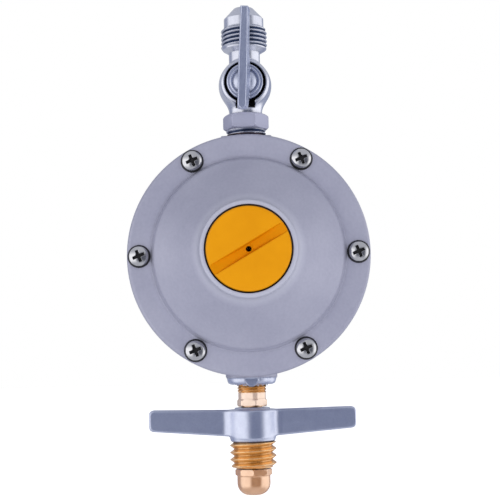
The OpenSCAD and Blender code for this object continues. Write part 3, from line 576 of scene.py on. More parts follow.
FINISHES = {
    "cast_zinc": ZINC,
    # The cover's zinc, with the painted highlight halo.
    "cover_zinc_halo": dict(ZINC, painted_halo=HALO_HIGHLIGHT),
    "dark_zinc": dict(
        dark=(0.58, 0.60, 0.68), light=(0.68, 0.70, 0.76), metallic=1.0, rough=(0.29, 0.36),
        mottle=0.3, grain=2.0, depth=0.008, groove=(1.5, 0.4), speck=(1.6, 0.5),
        haze=((0.36, 0.47, 0.92), 0.17)),
    "plated_valve": dict(
        TURNED, dark=(0.66, 0.67, 0.73), light=(0.74, 0.75, 0.80), rough=(0.2, 0.26), mottle=0.3,
        groove=(1.2, 0.35), haze=((0.40, 0.46, 0.66), 0.18), marks=VALVE_MARKS, matt=HEX_ZONE),
    "bright_steel": dict(
        dark=(0.56, 0.56, 0.57), light=(0.64, 0.64, 0.65), metallic=1.0, rough=(0.14, 0.22),
        mottle=0.5, grain=3.0, depth=0.004, groove=(1.5, 0.15)),
    "plain_steel": dict(
        dark=(0.50, 0.50, 0.52), light=(0.60, 0.60, 0.62), metallic=1.0, rough=(0.29, 0.4),
        mottle=0.4, grain=3.0, depth=0.006),
    "golden_brass": dict(
        TURNED, dark=(0.93, 0.62, 0.33), light=(0.99, 0.70, 0.42), rough=(0.14, 0.22), mottle=0.35,
        groove=(1.3, 0.45), haze=((1.0, 0.42, 0.06), 0.3)),
    "pale_brass": dict(
        TURNED, dark=(0.74, 0.58, 0.45), light=(0.82, 0.65, 0.51), rough=(0.18, 0.26), mottle=0.35,
        groove=(1.2, 0.45), haze=((1.0, 0.41, 0.12), 0.34)),
    "brass_painted_highlight": dict(
        dark=(0.92, 0.76, 0.62), light=(0.98, 0.82, 0.68), metallic=1.0, rough=(0.2, 0.26),
        mottle=0.35, grain=1.5, depth=0.002, groove=(0.8, 0.5), haze=((1.0, 0.72, 0.55), 0.5)),
    "orange_plastic": dict(
        dark=(0.86, 0.34, 0.0), light=(0.91, 0.37, 0.001), metallic=0.0, rough=(0.42, 0.5),
        mottle=0.15, grain=1.5, depth=0.006, groove=(2.0, 0.7), sheen=0.25),
    "orange_painted_shade": dict(
        dark=(0.76, 0.265, 0.0), light=(0.82, 0.29, 0.001), metallic=0.0, rough=(0.45, 0.55),
        mottle=0.15, grain=1.5, depth=0.006, sheen=0.1),
    "black_rubber": dict(
        dark=(0.012, 0.012, 0.013), light=(0.03, 0.03, 0.03), metallic=0.0, rough=(0.5, 0.65),
        mottle=0.4, grain=2.0, depth=0.02),
    "screw_painted_shade": dict(
        dark=(0.008, 0.008, 0.009), light=(0.02, 0.02, 0.022), metallic=0.0, rough=(0.5, 0.6),
        mottle=0.6, grain=3.0, depth=0.01),
}
MATERIALS = {name: surface(name, **finish) for name, finish in FINISHES.items()}


def dress(obj, material):
    """Gives a whole piece one material."""
    obj.data.materials.clear()
    obj.data.materials.append(MATERIALS[material])


def piece(name, mesh, body, slot, *nodes):
    """Puts a mesh in the scene as a piece of the object. A piece without a body is left unattached."""
    obj = bpy.data.objects.new(name, mesh)
    bpy.context.scene.collection.objects.link(obj)
    if body:
        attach(obj, body)
    if nodes:
        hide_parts(*nodes)
    dress(obj, slot)
    return obj


def second(obj, material, inside):
    """Gives the faces whose centre passes a test another material."""
    obj.data.materials.append(MATERIALS[material])
    number = len(obj.data.materials) - 1
    for face in obj.data.polygons:
        if inside(*(c / MM for c in face.center)):
            face.material_index = number


# CAD nodes that keep their shape
SLOTS = {part["node"]: part["material_slot"] for part in frame["record"]["subparts"]}
for node, obj in frame["nodes"].items():
    dress(obj, SLOTS[node])


# Front casting
def cover_outline():
    """Half section of the cover, from its joint face over the dome to the tower inside."""
    face = COVER_H + FLANGE_T
    rim = 1.3
    shoulder_h = face + STEP_RISE
    shoulder_x = STEP_R - 0.4 - SHOULDER_R
    dome_x = shoulder_x + SHOULDER_R * math.sin(DOME_SLOPE)
    dome_h = shoulder_h + SHOULDER_R * math.cos(DOME_SLOPE)
    foot = COLLAR_R + COLLAR_FILLET
    tangent_x = foot - COLLAR_FILLET * math.sin(DOME_SLOPE)
    tangent_h = dome_h + (dome_x - tangent_x) * math.tan(DOME_SLOPE)
    collar_h = tangent_h + COLLAR_FILLET * math.cos(DOME_SLOPE)
    inner_x = dome_x - WALL * math.sin(DOME_SLOPE)
    inner_h = dome_h - WALL * math.cos(DOME_SLOPE)
    inner_top = inner_h + (inner_x - TOWER_R) * math.tan(DOME_SLOPE)
    slope = math.degrees(DOME_SLOPE)
    edge = 0.9
    lip = 0.15
    return fine(
        [(CHAMBER_R, COVER_H)]
        + arc(FLANGE_R - 0.5, COVER_H + 0.5, 0.5, -90, 0, 4)
        + arc(FLANGE_R - rim, face - rim, rim, 0, 90, 10)
        + arc(STEP_R + 0.6, face + 0.6, 0.6, -90, -180, 5)
        + arc(shoulder_x, shoulder_h, SHOULDER_R, 0, 90 - slope, 10)
        + arc(foot, collar_h, COLLAR_FILLET, 270 - slope, 180, 10)
        + arc(COLLAR_R - edge, RIM_H - edge, edge, 0, 90, 6)
        + arc(COUNTERBORE_R + lip, RIM_H - lip, lip, 90, 180, 4)
        + [(COUNTERBORE_R, LEDGE_H), (COLLAR_BORE_R, LEDGE_H), (COLLAR_BORE_R, TOWER_H), (TOWER_R, TOWER_H),
           (TOWER_R, inner_top), (inner_x, inner_h), (min(inner_x, CHAMBER_R - 1), face)])


front_mesh = spin("front_casting", cover_outline(), "body", 256)
front = piece("front_casting", front_mesh, "housing", "cast_zinc", "front_cover")
dress(front, "cover_zinc_halo")


# Rear casting
BOWL_ROUND = 6.0
FLANGE_ROUND = 0.9
EAR_R = 3.8
EAR_ROUND = 0.8
SCREW_HOLE_R = 2.04
RING_R = 5.35
PAD_R = 2.3
PAD_RISE = 1.6
POST_R = 5.3
POST_DROP = 20.1
POST_ROOT = 1
PIVOT_DROP = 18
PIVOT_Y = 5
PIVOT_BORE_R = 1.04
LUG_X = 5.25
LUG_HALF_T = 1.25
LUG_HALF_L = 1.8
LUG_FACE = 3.0
NIPPLE_BORE_R = 5.04
NIPPLE_BORE_Z = 39.9
NOZZLE_BORE_R = 4.04
NOZZLE_BORE_Z = 46.9
POPPET_BORE_R = 3.07
POPPET_BORE_DROP = 15
VALVE_BORE_R = 6.87
VALVE_BORE_L = 9
PORT_R = 4.4
PORT_RISE = 28
BOSS_FOOT = [
    (0, BODY_Z), (0, BOSS_END_Z), (6.9, BOSS_END_Z), (7.4, BOSS_END_Z + 0.15), (7.85, BOSS_END_Z + 0.5),
    (8.15, BOSS_END_Z + 1.1), (8.33, BOSS_END_Z + 2.2), (BOSS_R, BOSS_END_Z + 2.35), (BOSS_R, BODY_Z)]


def rear_bores(x, y, z, ear_r):
    """The flow's bores, the screw holes and the bore of the relay's pin."""
    v = z - BODY_Z
    flow = np.hypot(x, y)
    nipple = np.maximum(flow - NIPPLE_BORE_R, z - NIPPLE_BORE_Z)
    nozzle = np.maximum(flow - NOZZLE_BORE_R, z - NOZZLE_BORE_Z)
    poppet = np.maximum(flow - POPPET_BORE_R, v + POPPET_BORE_DROP)
    valve = np.maximum(flow - VALVE_BORE_R, BOSS_TOP - VALVE_BORE_L - z)
    port = np.maximum(flow - PORT_R, BODY_Z + PORT_RISE - z)
    holes = np.maximum(ear_r - SCREW_HOLE_R, y)
    pin = np.hypot(y - PIVOT_Y, v + PIVOT_DROP) - PIVOT_BORE_R
    pin = np.maximum(pin, np.abs(x) - (LUG_X + LUG_HALF_T))
    return np.minimum.reduce([nipple, nozzle, poppet, valve, port, holes, pin])


def rear_field(x, y, z):
    h = -y
    v = z - BODY_Z
    rad = np.hypot(x, v)
    flow = np.hypot(x, y)
    bowl = corner(rad - BOWL_R, REAR_H - h, BOWL_ROUND)
    flange = corner(rad - FLANGE_R, JOINT_H - FLANGE_T - h, FLANGE_ROUND)
    turn = np.arctan2(v, x)
    sector = np.mod(turn + math.pi / SCREW_N, TAU / SCREW_N) - math.pi / SCREW_N
    ear_r = np.hypot(rad * np.cos(sector) - SCREW_PCR, rad * np.sin(sector))
    ear = corner(ear_r - EAR_R, JOINT_H - 2 * FLANGE_T - h, EAR_ROUND)
    top = z - BOSS_TOP + BOSS_FALL * np.maximum(h, 0)
    up = np.maximum(corner(flow - BOSS_R, top, 0.3), BODY_Z - z)
    down = np.maximum(polygon(flow, z, BOSS_FOOT), z - BODY_Z)
    pad = np.maximum(np.hypot(x, z - BOSS_END_Z - PAD_RISE) - PAD_R, np.maximum(h - BOSS_R, -h))
    down = low_blend(down, pad, 0.3)
    ring = np.maximum(corner(flow - RING_R, BOSS_RING_Z - z, 0.2), z - BODY_Z)
    shell = low_blend(bowl, flange, 2.0)
    shell = low_blend(shell, ear, 1.0)
    shell = low_blend(shell, np.minimum(up, down), 0.9)
    shell = low_blend(shell, ring, 0.3)
    shell = high_blend(shell, h - JOINT_H, 0.3)
    chamber = high_blend(rad - CHAMBER_R, REAR_H + WALL - h, 1.5)
    shell = high_blend(shell, -chamber, 0.5)
    post = np.maximum(flow - POST_R, z - (BODY_Z - POST_DROP))
    post = np.maximum(post, BODY_Z - CHAMBER_R - POST_ROOT - z)
    lug = np.maximum(np.abs(np.abs(x) - LUG_X) - LUG_HALF_T, np.abs(v + PIVOT_DROP) - LUG_HALF_L)
    lug = np.maximum(lug, np.maximum(h + LUG_FACE, REAR_H - h))
    shell = low_blend(shell, np.minimum(post, lug), 0.6)
    return high_blend(shell, -rear_bores(x, y, z, ear_r), 0.5)


rear_mesh = cast("rear_casting", rear_field, REAR_LO, REAR_HI, 0.5)
rear = piece("rear_casting", rear_mesh, "housing", "cast_zinc", "rear_body")
second(rear, "dark_zinc", lambda x, y, z: z < BOSS_END_Z + 2.25)


# Pan-head screws with cross recess
SCREW_HEAD_R = 3.85
SCREW_FACE_R = 3.2
SCREW_HEAD_T = 2.3
SCREW_TAPER = 0.45
SCREW_DOME_R = 5.4
SCREW_R = 2.0
SCREW_L = 12.0
RECESS_TURN = math.radians(22)
RECESS_HALF_L = 2.2
RECESS_HALF_W = 0.5
RECESS_T = 1.5
RECESS_REACH = 2.4


def pan_field(x, y, z):
    r = np.hypot(x, y)
    dome = np.hypot(r, z + SCREW_DOME_R - SCREW_HEAD_T) - SCREW_DOME_R
    side = (r - SCREW_HEAD_R + SCREW_TAPER * np.maximum(z, 0)) / math.hypot(1, SCREW_TAPER)
    head = high_blend(high_blend(side, dome, 0.5), -z, 0.2)
    shank = np.maximum(np.maximum(r - SCREW_R, -SCREW_L - z), z - 0.5)
    u = np.abs(x * math.cos(RECESS_TURN) + y * math.sin(RECESS_TURN))
    v = np.abs(y * math.cos(RECESS_TURN) - x * math.sin(RECESS_TURN))
    top = SCREW_HEAD_T - z
    arm_l = RECESS_HALF_L - 0.45 * top
    arm_w = RECESS_HALF_W - 0.06 * top
    one = np.maximum(u - arm_l, v - arm_w)
    two = np.maximum(v - arm_l, u - arm_w)
    recess = np.maximum(low_blend(one, two, 0.5), top - RECESS_T)
    return high_blend(np.minimum(head, shank), -recess, 0.12)


def screws():
    """One screw's mesh, set round the flange."""
    one = cast("pan_head", pan_field, (-3.9, -3.9, -12), (3.9, 3.9, 2.4), 0.16)
    mesh = bpy.data.meshes.new("pan_head_screws")
    bm = bmesh.new()
    for k in range(SCREW_N):
        a = TAU * k / SCREW_N
        x, z = SCREW_PCR * math.cos(a), SCREW_PCR * math.sin(a)
        copy = one.copy()
        seat = Vector((x * MM, -(COVER_H + FLANGE_T) * MM, (BODY_Z + z) * MM))
        copy.transform(Matrix.Translation(seat) @ Matrix.Rotation(math.pi / 2, 4, "X"))
        bm.from_mesh(copy)
    bm.to_mesh(mesh)
    bm.free()
    mesh.shade_smooth()
    return mesh


def in_shade(x, y, z):
    """Whether a place is in a screw's recess or on the steep side of its head, which get painted black
    shade.
    """
    part = TAU / SCREW_N
    rad = math.hypot(x, z - BODY_Z)
    turn = (math.atan2(z - BODY_Z, x) + part / 2) % part - part / 2
    near = math.hypot(rad * math.cos(turn) - SCREW_PCR, rad * math.sin(turn))
    rise = -y - COVER_H - FLANGE_T
    face = math.sqrt(SCREW_DOME_R ** 2 - min(near, SCREW_DOME_R) ** 2) - SCREW_DOME_R + SCREW_HEAD_T
    return rise > -0.05 and (near > SCREW_FACE_R or near < RECESS_REACH and face - rise > 0.1)


pan_heads = piece("pan_head_screws", screws(), "housing", "bright_steel", "cover_screws")
# Painted shade: black in the cross recess, and a painted shadow ring round each head.
second(pan_heads, "screw_painted_shade", in_shade)


# Screw cap with coin slot and breather hole
CAP_R = (CAP_HI[0] - CAP_LO[0]) / 2
CAP_FRONT = -CAP_LO[1]
CAP_EDGE = 0.9
SKIRT_H = -CAP_HI[1]
SKIRT_R = 12.63
HOLLOW_R = 10.83
HEAD_H = SKIRT_H + 4.6
SLOT_TURN = math.radians(30)
SLOT_DEPTH = 2.0
SLOT_HALF = 14.5
SLOT_HALF_W = 1.75
SLOT_DRAFT = 0.28
COIN_R = (SLOT_HALF ** 2 + SLOT_DEPTH ** 2) / (2 * SLOT_DEPTH)
LIP_R = 1.15
LIP_THICK = 0.28
VENT_R = 0.9


def cap_field(x, y, z):
    h = -y
    v = z - BODY_Z
    rad = np.hypot(x, v)
    top = CAP_FRONT - h
    head = np.maximum(high_blend(rad - CAP_R, -top, CAP_EDGE), HEAD_H - h)
    skirt = np.maximum(np.maximum(rad - SKIRT_R, SKIRT_H - h), h - HEAD_H - 0.5)
    whole = np.minimum(head, skirt)
    hollow = np.maximum(rad - HOLLOW_R, h - HEAD_H)
    along = x * math.cos(SLOT_TURN) + v * math.sin(SLOT_TURN)
    across = np.abs(v * math.cos(SLOT_TURN) - x * math.sin(SLOT_TURN))
    coin = np.hypot(along, h - (CAP_FRONT - SLOT_DEPTH + COIN_R)) - COIN_R
    slot = high_blend(across - (SLOT_HALF_W - SLOT_DRAFT * top), coin, 0.25)
    lip = np.hypot(np.hypot(along, across) - LIP_R, h - (CAP_FRONT - SLOT_DEPTH)) - LIP_THICK
    vent = rad - VENT_R
    whole = high_blend(np.maximum(whole, -hollow), -slot, 0.3)
    whole = low_blend(whole, lip, 0.2)
    return high_blend(whole, -vent, 0.15)


def in_slot(x, y, z):
    """Whether a place is down in the coin slot, whose floor gets painted shade."""
    v = z - BODY_Z
    across = abs(v * math.cos(SLOT_TURN) - x * math.sin(SLOT_TURN))
    return across < 1.62 and 0.12 < CAP_FRONT + y < SLOT_DEPTH + 0.3 and math.hypot(x, v) > 0.95


cap_mesh = cast("adjuster_cap", cap_field, CAP_LO, CAP_HI, 0.25)
cap = piece("adjuster_cap", cap_mesh, "cap", "orange_plastic", "vent_cap")
# Painted shade: a darker orange copy of the plastic on the slot's floor.
second(cap, "orange_painted_shade", in_slot)


# Ring under the cap
SEAL_R = (SEAL_HI[0] - SEAL_LO[0]) / 2
SEAL_BORE_R = 12.77
SEAL_EDGE = 0.2


def ring_outline(r0, r1, h0, h1, e):
    """Section of a flat ring between two radii and two heights, with edges rounded by e."""
    return fine(arc(r1 - e, h0 + e, e, -90, 0, 4) + arc(r1 - e, h1 - e, e, 0, 90, 4)
                + arc(r0 + e, h1 - e, e, 90, 180, 4) + arc(r0 + e, h0 + e, e, 180, 270, 4))


seal_outline = ring_outline(SEAL_BORE_R, SEAL_R, -SEAL_HI[1], -SEAL_LO[1], SEAL_EDGE)
piece("cap_ring", spin("cap_ring", seal_outline, "body", 128), "cap_ring", "black_rubber", "cap_seal")


# Wing nut
HUB_R = 7.75
HUB_Z = WING_LO[2]
HUB_TOP = WING_HI[2] - 0.8
HUB_COLLAR_R = 5.95
HUB_FOOT = [(0, HUB_Z), (7.0, HUB_Z), (7.5, HUB_Z + 0.4), (HUB_R + 0.05, HUB_Z + 1.6), (HUB_R, HUB_TOP),
            (0, HUB_TOP)]
SOCKET_R = 6.34
SOCKET_ROOF = 2.2
WING_SPAN = WING_HI[0]
WING_HALF_T = 2.8
WING_THIN = 0.25
WING_MID = 4
WING_TIP_L = 7.1
WING_ROOT_L = 9.4
WING_TIP_RISE = 0.5
WING_TIP_ROUND = 1.8


def wing_field(x, y, z):
    ax = np.abs(x)
    flow = np.hypot(x, y)
    side = np.abs(y)
    thick = WING_HALF_T - WING_THIN * np.abs(z - HUB_TOP + WING_MID) / WING_MID
    plan = low_blend(flow - HUB_R, side - thick, 3.0)
    top_edge = HUB_TOP + WING_TIP_RISE * ax / WING_SPAN
    low_edge = top_edge - WING_ROOT_L + (WING_ROOT_L - WING_TIP_L) * ax / WING_SPAN
    tall = np.maximum(z - top_edge, low_edge - z)
    tall = high_blend(tall, ax - WING_SPAN, WING_TIP_ROUND)
    arms = high_blend(plan, tall, 0.8)
    hub = high_blend(flow - HUB_R, z - HUB_TOP, 1.4)
    hub = np.maximum(hub, polygon(flow, z, HUB_FOOT))
    top = np.maximum(corner(flow - HUB_COLLAR_R, z - WING_HI[2], 0.3), HUB_TOP - 1 - z)
    whole = low_blend(low_blend(arms, hub, 0.8), top, 0.4)
    socket = np.maximum(flow - SOCKET_R, z - (HUB_TOP - SOCKET_ROOF))
    return np.maximum(whole, -np.minimum(socket, flow - TUBE_BORE_R))


wing_mesh = cast("wing_nut", wing_field, WING_LO, WING_HI, 0.3)
piece("wing_nut", wing_mesh, "wing", "dark_zinc", "wing_handle")


# Brass sleeve with the coarse thread
INLET_CREST_R = 7.8
INLET_ROOT_R = 6.45
INLET_PITCH = 2.35
INLET_START = 1.2
INLET_Z = SCREW_LO[2]
SHANK_R = 6.3
SHANK_TOP = SCREW_HI[2]


def inlet_shape(r, h, a):
    """Helical thread, low where it starts."""
    if r < INLET_ROOT_R + 0.2 or h > HUB_Z:
        return r
    start = np.clip((h - INLET_Z) / 1.0, 0, 1)
    crest = ridge(h - INLET_Z, a + INLET_START, INLET_PITCH, 0.08)
    return INLET_ROOT_R + (r - INLET_ROOT_R) * float(crest) * float(0.35 + 0.65 * start)


def column(r, h0, h1, step):
    """Points up a wall, step apart."""
    n = max(1, round((h1 - h0) / step))
    return [(r, h0 + (h1 - h0) * i / n) for i in range(n + 1)]


inlet_outline = ([(TUBE_BORE_R, INLET_Z), (INLET_ROOT_R - 0.3, INLET_Z), (INLET_ROOT_R, INLET_Z + 0.2)]
                 + column(INLET_CREST_R, INLET_Z + 0.25, HUB_Z - 0.05, 0.14)
                 + [(SHANK_R, HUB_Z - 0.04), (SHANK_R, SHANK_TOP), (TUBE_BORE_R, SHANK_TOP)])
sleeve_mesh = spin("threaded_sleeve", inlet_outline, "flow", 160, inlet_shape, 60)
piece("threaded_sleeve", sleeve_mesh, "wing", "golden_brass", "inlet_screw")


# Brass nipple with hexagon and pipe thread
NIPPLE_HEX_Z = 24.85
NIPPLE_HEX_W = 9.2
NIPPLE_SHANK_Z = 27.35
NIPPLE_SHANK_W = 8.8
NIPPLE_THREAD_Z = 29.65
NIPPLE_THREAD_R = 5.0
NIPPLE_THREAD_T = 0.5
NIPPLE_PITCH = 0.94
NIPPLE_TURN = math.radians(15)
NIPPLE_TUBE_R = 3.4
NIPPLE_END_R = 2.8
NIPPLE_STEP_Z = 3.95


def polygon_radius(a, sides, across, turn):
    """Radius of a regular polygon's wall at an angle."""
    part = TAU / sides
    return across / 2 / math.cos((a - turn + part / 2) % part - part / 2)


def soft_low(a, b, k):
    """The lower of two numbers, rounded by about k where they are near."""
    h = max(k - abs(a - b), 0) / k
    return min(a, b) - h * h * k / 4


def nipple_shape(r, h, a):
    """Hexagon, shank with narrow flats and helical pipe thread."""
    if NIPPLE_HEX_Z - 0.01 <= h <= NIPPLE_SHANK_Z + 0.01 and r > 4:
        return soft_low(r, polygon_radius(a, 6, NIPPLE_HEX_W, NIPPLE_TURN), 0.15)
    if NIPPLE_SHANK_Z < h < NIPPLE_THREAD_Z and r > 4.4:
        return soft_low(r, polygon_radius(a, 6, NIPPLE_SHANK_W, NIPPLE_TURN), 0.1)
    if h >= NIPPLE_THREAD_Z and r > 4.2:
        return r - NIPPLE_THREAD_T * (1 - float(ridge(h, a, NIPPLE_PITCH, 0.1)))
    return r


nipple_outline = ([(PASSAGE_R, NIPPLE_LO[2]), (NIPPLE_END_R, NIPPLE_LO[2]), (NIPPLE_END_R, NIPPLE_STEP_Z)]
                  + [(NIPPLE_TUBE_R, NIPPLE_STEP_Z), (NIPPLE_TUBE_R, NIPPLE_HEX_Z), (4.75, NIPPLE_HEX_Z)]
                  + column(5.3, NIPPLE_HEX_Z + 0.35, NIPPLE_SHANK_Z - 0.45, 0.3)
                  + [(4.75, NIPPLE_SHANK_Z), (4.7, NIPPLE_SHANK_Z + 0.02)]
                  + column(4.7, NIPPLE_SHANK_Z + 0.1, NIPPLE_THREAD_Z - 0.2, 0.4)
                  + column(NIPPLE_THREAD_R, NIPPLE_THREAD_Z, NIPPLE_HI[2], 0.09)
                  + [(PASSAGE_R, NIPPLE_HI[2])])
nipple_mesh = spin("pipe_nipple", nipple_outline, "flow", 144, nipple_shape, 50)
nipple = piece("pipe_nipple", nipple_mesh, "housing", "pale_brass", "inlet_nipple")
# Painted highlight: a lighter copy of the brass on the hexagon and shank.
second(nipple, "brass_painted_highlight", lambda x, y, z: NIPPLE_HEX_Z + 0.3 < z < NIPPLE_THREAD_Z - 0.1)
second(nipple, "golden_brass", lambda x, y, z: z > NIPPLE_THREAD_Z - 0.1)


# Brass nose with its octagon collar
NOSE_R = 5.55
NOSE_TIP = NOSE_LO[2]
NOSE_ROUND = 3.9
NOSE_BORE_R = 2.84
NOSE_BORE_Z = 0.71
OCTAGON_W = 11.4
OCTAGON_Z = 1.95
OCTAGON_TOP = NOSE_HI[2] + 0.2


def nose_shape(r, h, a):
    """Round nose with an octagon on top."""
    if h >= OCTAGON_Z - 0.01 and r > 5.6:
        return soft_low(r, polygon_radius(a, 8, OCTAGON_W, math.pi / 8), 0.15)
    return r


nose_outline = ([(TIP_BORE_R, NOSE_TIP + 0.02)]
                + arc(NOSE_R - NOSE_ROUND, NOSE_TIP + NOSE_ROUND, NOSE_ROUND, -90, 0, 18)
                + column(NOSE_R, NOSE_TIP + NOSE_ROUND + 0.15, OCTAGON_Z - 0.1, 0.6)
                + [(5.62, OCTAGON_Z), (5.95, OCTAGON_Z + 0.12)]
                + column(6.3, OCTAGON_Z + 0.35, OCTAGON_TOP - 0.3, 0.3)
                + [(5.9, OCTAGON_TOP), (NOSE_BORE_R, OCTAGON_TOP), (NOSE_BORE_R, NOSE_BORE_Z)]
                + [(TIP_BORE_R, NOSE_BORE_Z)])
nose_mesh = spin("nose_piece", nose_outline, "flow", 144, nose_shape, 40)
piece("nose_piece", nose_mesh, "housing", "pale_brass", "nose_tip")


# Outlet valve: hexagon, ball, neck and flare thread
PIPE_R = 6.83
PIPE_THREAD_T = 0.7
ROOT_R = 5.65
NECK_R = 5.35
NECK_TOP = 145.95
FLARE_THREAD_T = 0.8
CONE_R = 6.85
CONE_Z = 158.0
FLOW_BORE_R = 2.8
HEX_HALF_W = 6.85
HEX_CHAMFER = math.tan(math.radians(32))
HEX_CHAMFER_R = 6.9
RIM_R = 8.3
PLUG_BORE_R = 5.07
PLUG_BORE_Y = 6.15
GAP_IN_R = 6.0
GAP_FLOOR = 3.8
NOTCH_HALF_W = 3.2
NOTCH_REACH = 8.5
VALVE_OUTLINE = [
    (0, VALVE_LO[2]), (6.5, VALVE_LO[2]), (PIPE_R, VALVE_LO[2] + 0.5), (PIPE_R, HEX_Z - 0.3),
    (ROOT_R, HEX_Z + 0.2), (ROOT_R, BALL_Z), (NECK_R, BALL_Z), (NECK_R, NECK_TOP),
    (FLARE_R - 0.5, FLARE_Z), (FLARE_R, FLARE_Z + 0.5), (FLARE_R, FLARE_END - 0.7),
    (FLARE_R - 0.8, FLARE_END), (CONE_R, FLARE_END + 0.1), (CONE_R, CONE_Z), (3.4, VALVE_TIP - 0.1),
    (3.2, VALVE_TIP), (0, VALVE_TIP)]


def hexagon(x, y, z, flow):
    """Hexagon with both ends chamfered."""
    across = x * math.cos(HEX_TURN) + y * math.sin(HEX_TURN)
    ahead = y * math.cos(HEX_TURN) - x * math.sin(HEX_TURN)
    flats = np.maximum(np.abs(ahead), np.abs(across * math.sin(math.pi / 3) + ahead / 2))
    flats = np.maximum(flats, np.abs(across * math.sin(math.pi / 3) - ahead / 2)) - HEX_HALF_W
    high = (z - HEX_TOP + (flow - HEX_CHAMFER_R) * HEX_CHAMFER) / math.hypot(1, HEX_CHAMFER)
    low = (HEX_Z - z + (flow - HEX_CHAMFER_R) * HEX_CHAMFER) / math.hypot(1, HEX_CHAMFER)
    ends = high_blend(np.maximum(high, low), np.maximum(z - HEX_TOP, HEX_Z - z), 0.3)
    return high_blend(flats, ends, 0.3)


def valve_bores(x, y, rise, reach, flow):
    """The ring gap and notch round the lever's base, the plug's bore and the flow's bore."""
    counter = np.maximum(reach - GAP_R, RIM_FRONT - 1 + y)
    gap = np.maximum(np.maximum(reach - GAP_R, GAP_IN_R - reach), GAP_FLOOR + y)
    plug = np.maximum(reach - PLUG_BORE_R, y - PLUG_BORE_Y)
    notch = np.maximum(np.abs(x) - NOTCH_HALF_W, rise)
    notch = np.maximum(notch, np.maximum(RIM_FRONT - NOTCH_DEPTH + y, reach - NOTCH_REACH))
    cut = low_blend(low_blend(counter, notch, 0.2), low_blend(plug, gap, 0.2), 0.2)
    return low_blend(cut, flow - FLOW_BORE_R, 0.3)


def valve_field(x, y, z):
    flow = np.hypot(x, y)
    turn = np.arctan2(y, x)
    fade = np.clip((z - FLARE_Z) / 0.8, 0, 1) * np.clip((FLARE_END - z) / 0.5, 0, 1)
    fade = FLARE_THREAD_T * fade + PIPE_THREAD_T * np.clip((HEX_Z - 0.3 - z) / 0.3, 0, 1)
    groove = fade * (1 - ridge(z, turn, FLARE_PITCH, 0.1))
    stem = polygon(flow + groove, z, VALVE_OUTLINE)
    rise = z - BALL_Z
    reach = np.hypot(x, rise)
    ball = np.hypot(flow, rise) - BALL_R
    rim = high_blend(corner(reach - RIM_R, -y - RIM_FRONT, 1.5), y, 0.3)
    ball = low_blend(ball, rim, 2.0)
    whole = low_blend(stem, hexagon(x, y, z, flow), 0.25)
    whole = low_blend(ball, whole, 0.5 + 1.7 * np.clip(0.5 - rise / 4, 0, 1))
    return high_blend(whole, -valve_bores(x, y, rise, reach, flow), 0.45)


valve_mesh = cast("valve_casting", valve_field, VALVE_LO, VALVE_HI, 0.2)
piece("valve_casting", valve_mesh, "housing", "plated_valve", "outlet_valve_body")


# Lever handle
LEVER_FRONT = -LEVER_LO[1]
LEVER_UP = LEVER_HI[2] - BALL_Z
LEVER_DOWN = BALL_Z - LEVER_LO[2]
LEVER_BACK = 13.5
LEVER_ROOT = 7.6
LEVER_HALF_T = 1.3
LEVER_DRAFT = 0.55
LEVER_LEAN = math.radians(2.7)
LEVER_YAW = 0.033
LEVER_TIP = 0.05 - LEVER_DOWN
LEVER_POINT = 1.5
LEVER_SOCKET = 2.24
LEVER_SOCKET_END = 8.44
BASE_Y = -LEVER_HI[1]
BASE_R = 6.2
BASE_FACE = 7.5
BASE_STEP_R = 5.25
BASE_STEP = 7.85
BASE_DOME_R = 6.0
BASE_DOME_EDGE = 4.2
BASE_TOP = 9.6
BASE_BEADS = [(5.72, 7.5, 0.46), (4.75, 7.9, 0.48)]
STOP_GAP = 0.3
STOP_REACH = (PIN_HI[0] - PIN_LO[0]) / 2 + STOP_GAP
STOP_RING = (PIN_LO[2] + PIN_HI[2]) / 2 - BALL_Z
STOP_END = -PIN_LO[1] + STOP_GAP
BLADE = ([(LEVER_ROOT, -5.4), (LEVER_BACK, LEVER_TIP + 2)]
         + arc(LEVER_FRONT - 0.3, LEVER_TIP + 0.3, 0.3, -90, 0, 4)
         + arc(LEVER_FRONT - 0.4, LEVER_UP - 0.4, 0.4, 0, 90, 4)
         + arc(LEVER_BACK + 1.6, LEVER_UP - 1.6, 1.6, 90, 180, 6)
         + [(LEVER_BACK, 8), (LEVER_ROOT, 4.8)])


def lever_blade(x, out, rise):
    """The blade leans a little, thins to both ends and has a pointed lower tip and a bead on top."""
    side = x + LEVER_YAW * out
    across = np.abs(side * math.cos(LEVER_LEAN) - rise * math.sin(LEVER_LEAN))
    up = rise * math.cos(LEVER_LEAN) + side * math.sin(LEVER_LEAN)
    slim = np.where(up > 0, 0.31 * (up / LEVER_UP) ** 2, 0.13 * (up / LEVER_TIP) ** 2)
    draft = LEVER_DRAFT * np.clip((LEVER_FRONT - out) / (LEVER_FRONT - LEVER_BACK), 0, 1.2)
    tip = 1.4 * np.clip(1 - (up - LEVER_TIP) / LEVER_POINT, 0, 1)
    bead = 0.35 * np.exp(-((up - LEVER_UP + 0.15) / 0.25) ** 2)
    return high_blend(polygon(out, up, BLADE), across - (LEVER_HALF_T - slim + draft - tip + bead), 0.3)


def lever_base(reach, out):
    """The round base, with two beads and a dome."""
    (bead_r, bead_y, bead_t), (inner_r, inner_y, inner_t) = BASE_BEADS
    base = corner(reach - BASE_R, out - BASE_FACE, 0.2)
    base = low_blend(base, np.hypot(reach - bead_r, out - bead_y) - bead_t, 0.2)
    base = low_blend(base, np.maximum(reach - BASE_STEP_R, out - BASE_STEP), 0.2)
    base = low_blend(base, np.hypot(reach - inner_r, out - inner_y) - inner_t, 0.2)
    dome = np.hypot(reach, out - BASE_TOP + BASE_DOME_R) - BASE_DOME_R
    base = low_blend(base, high_blend(dome, reach - BASE_DOME_EDGE, 0.3), 0.25)
    return high_blend(base, BASE_Y - out, 0.3)


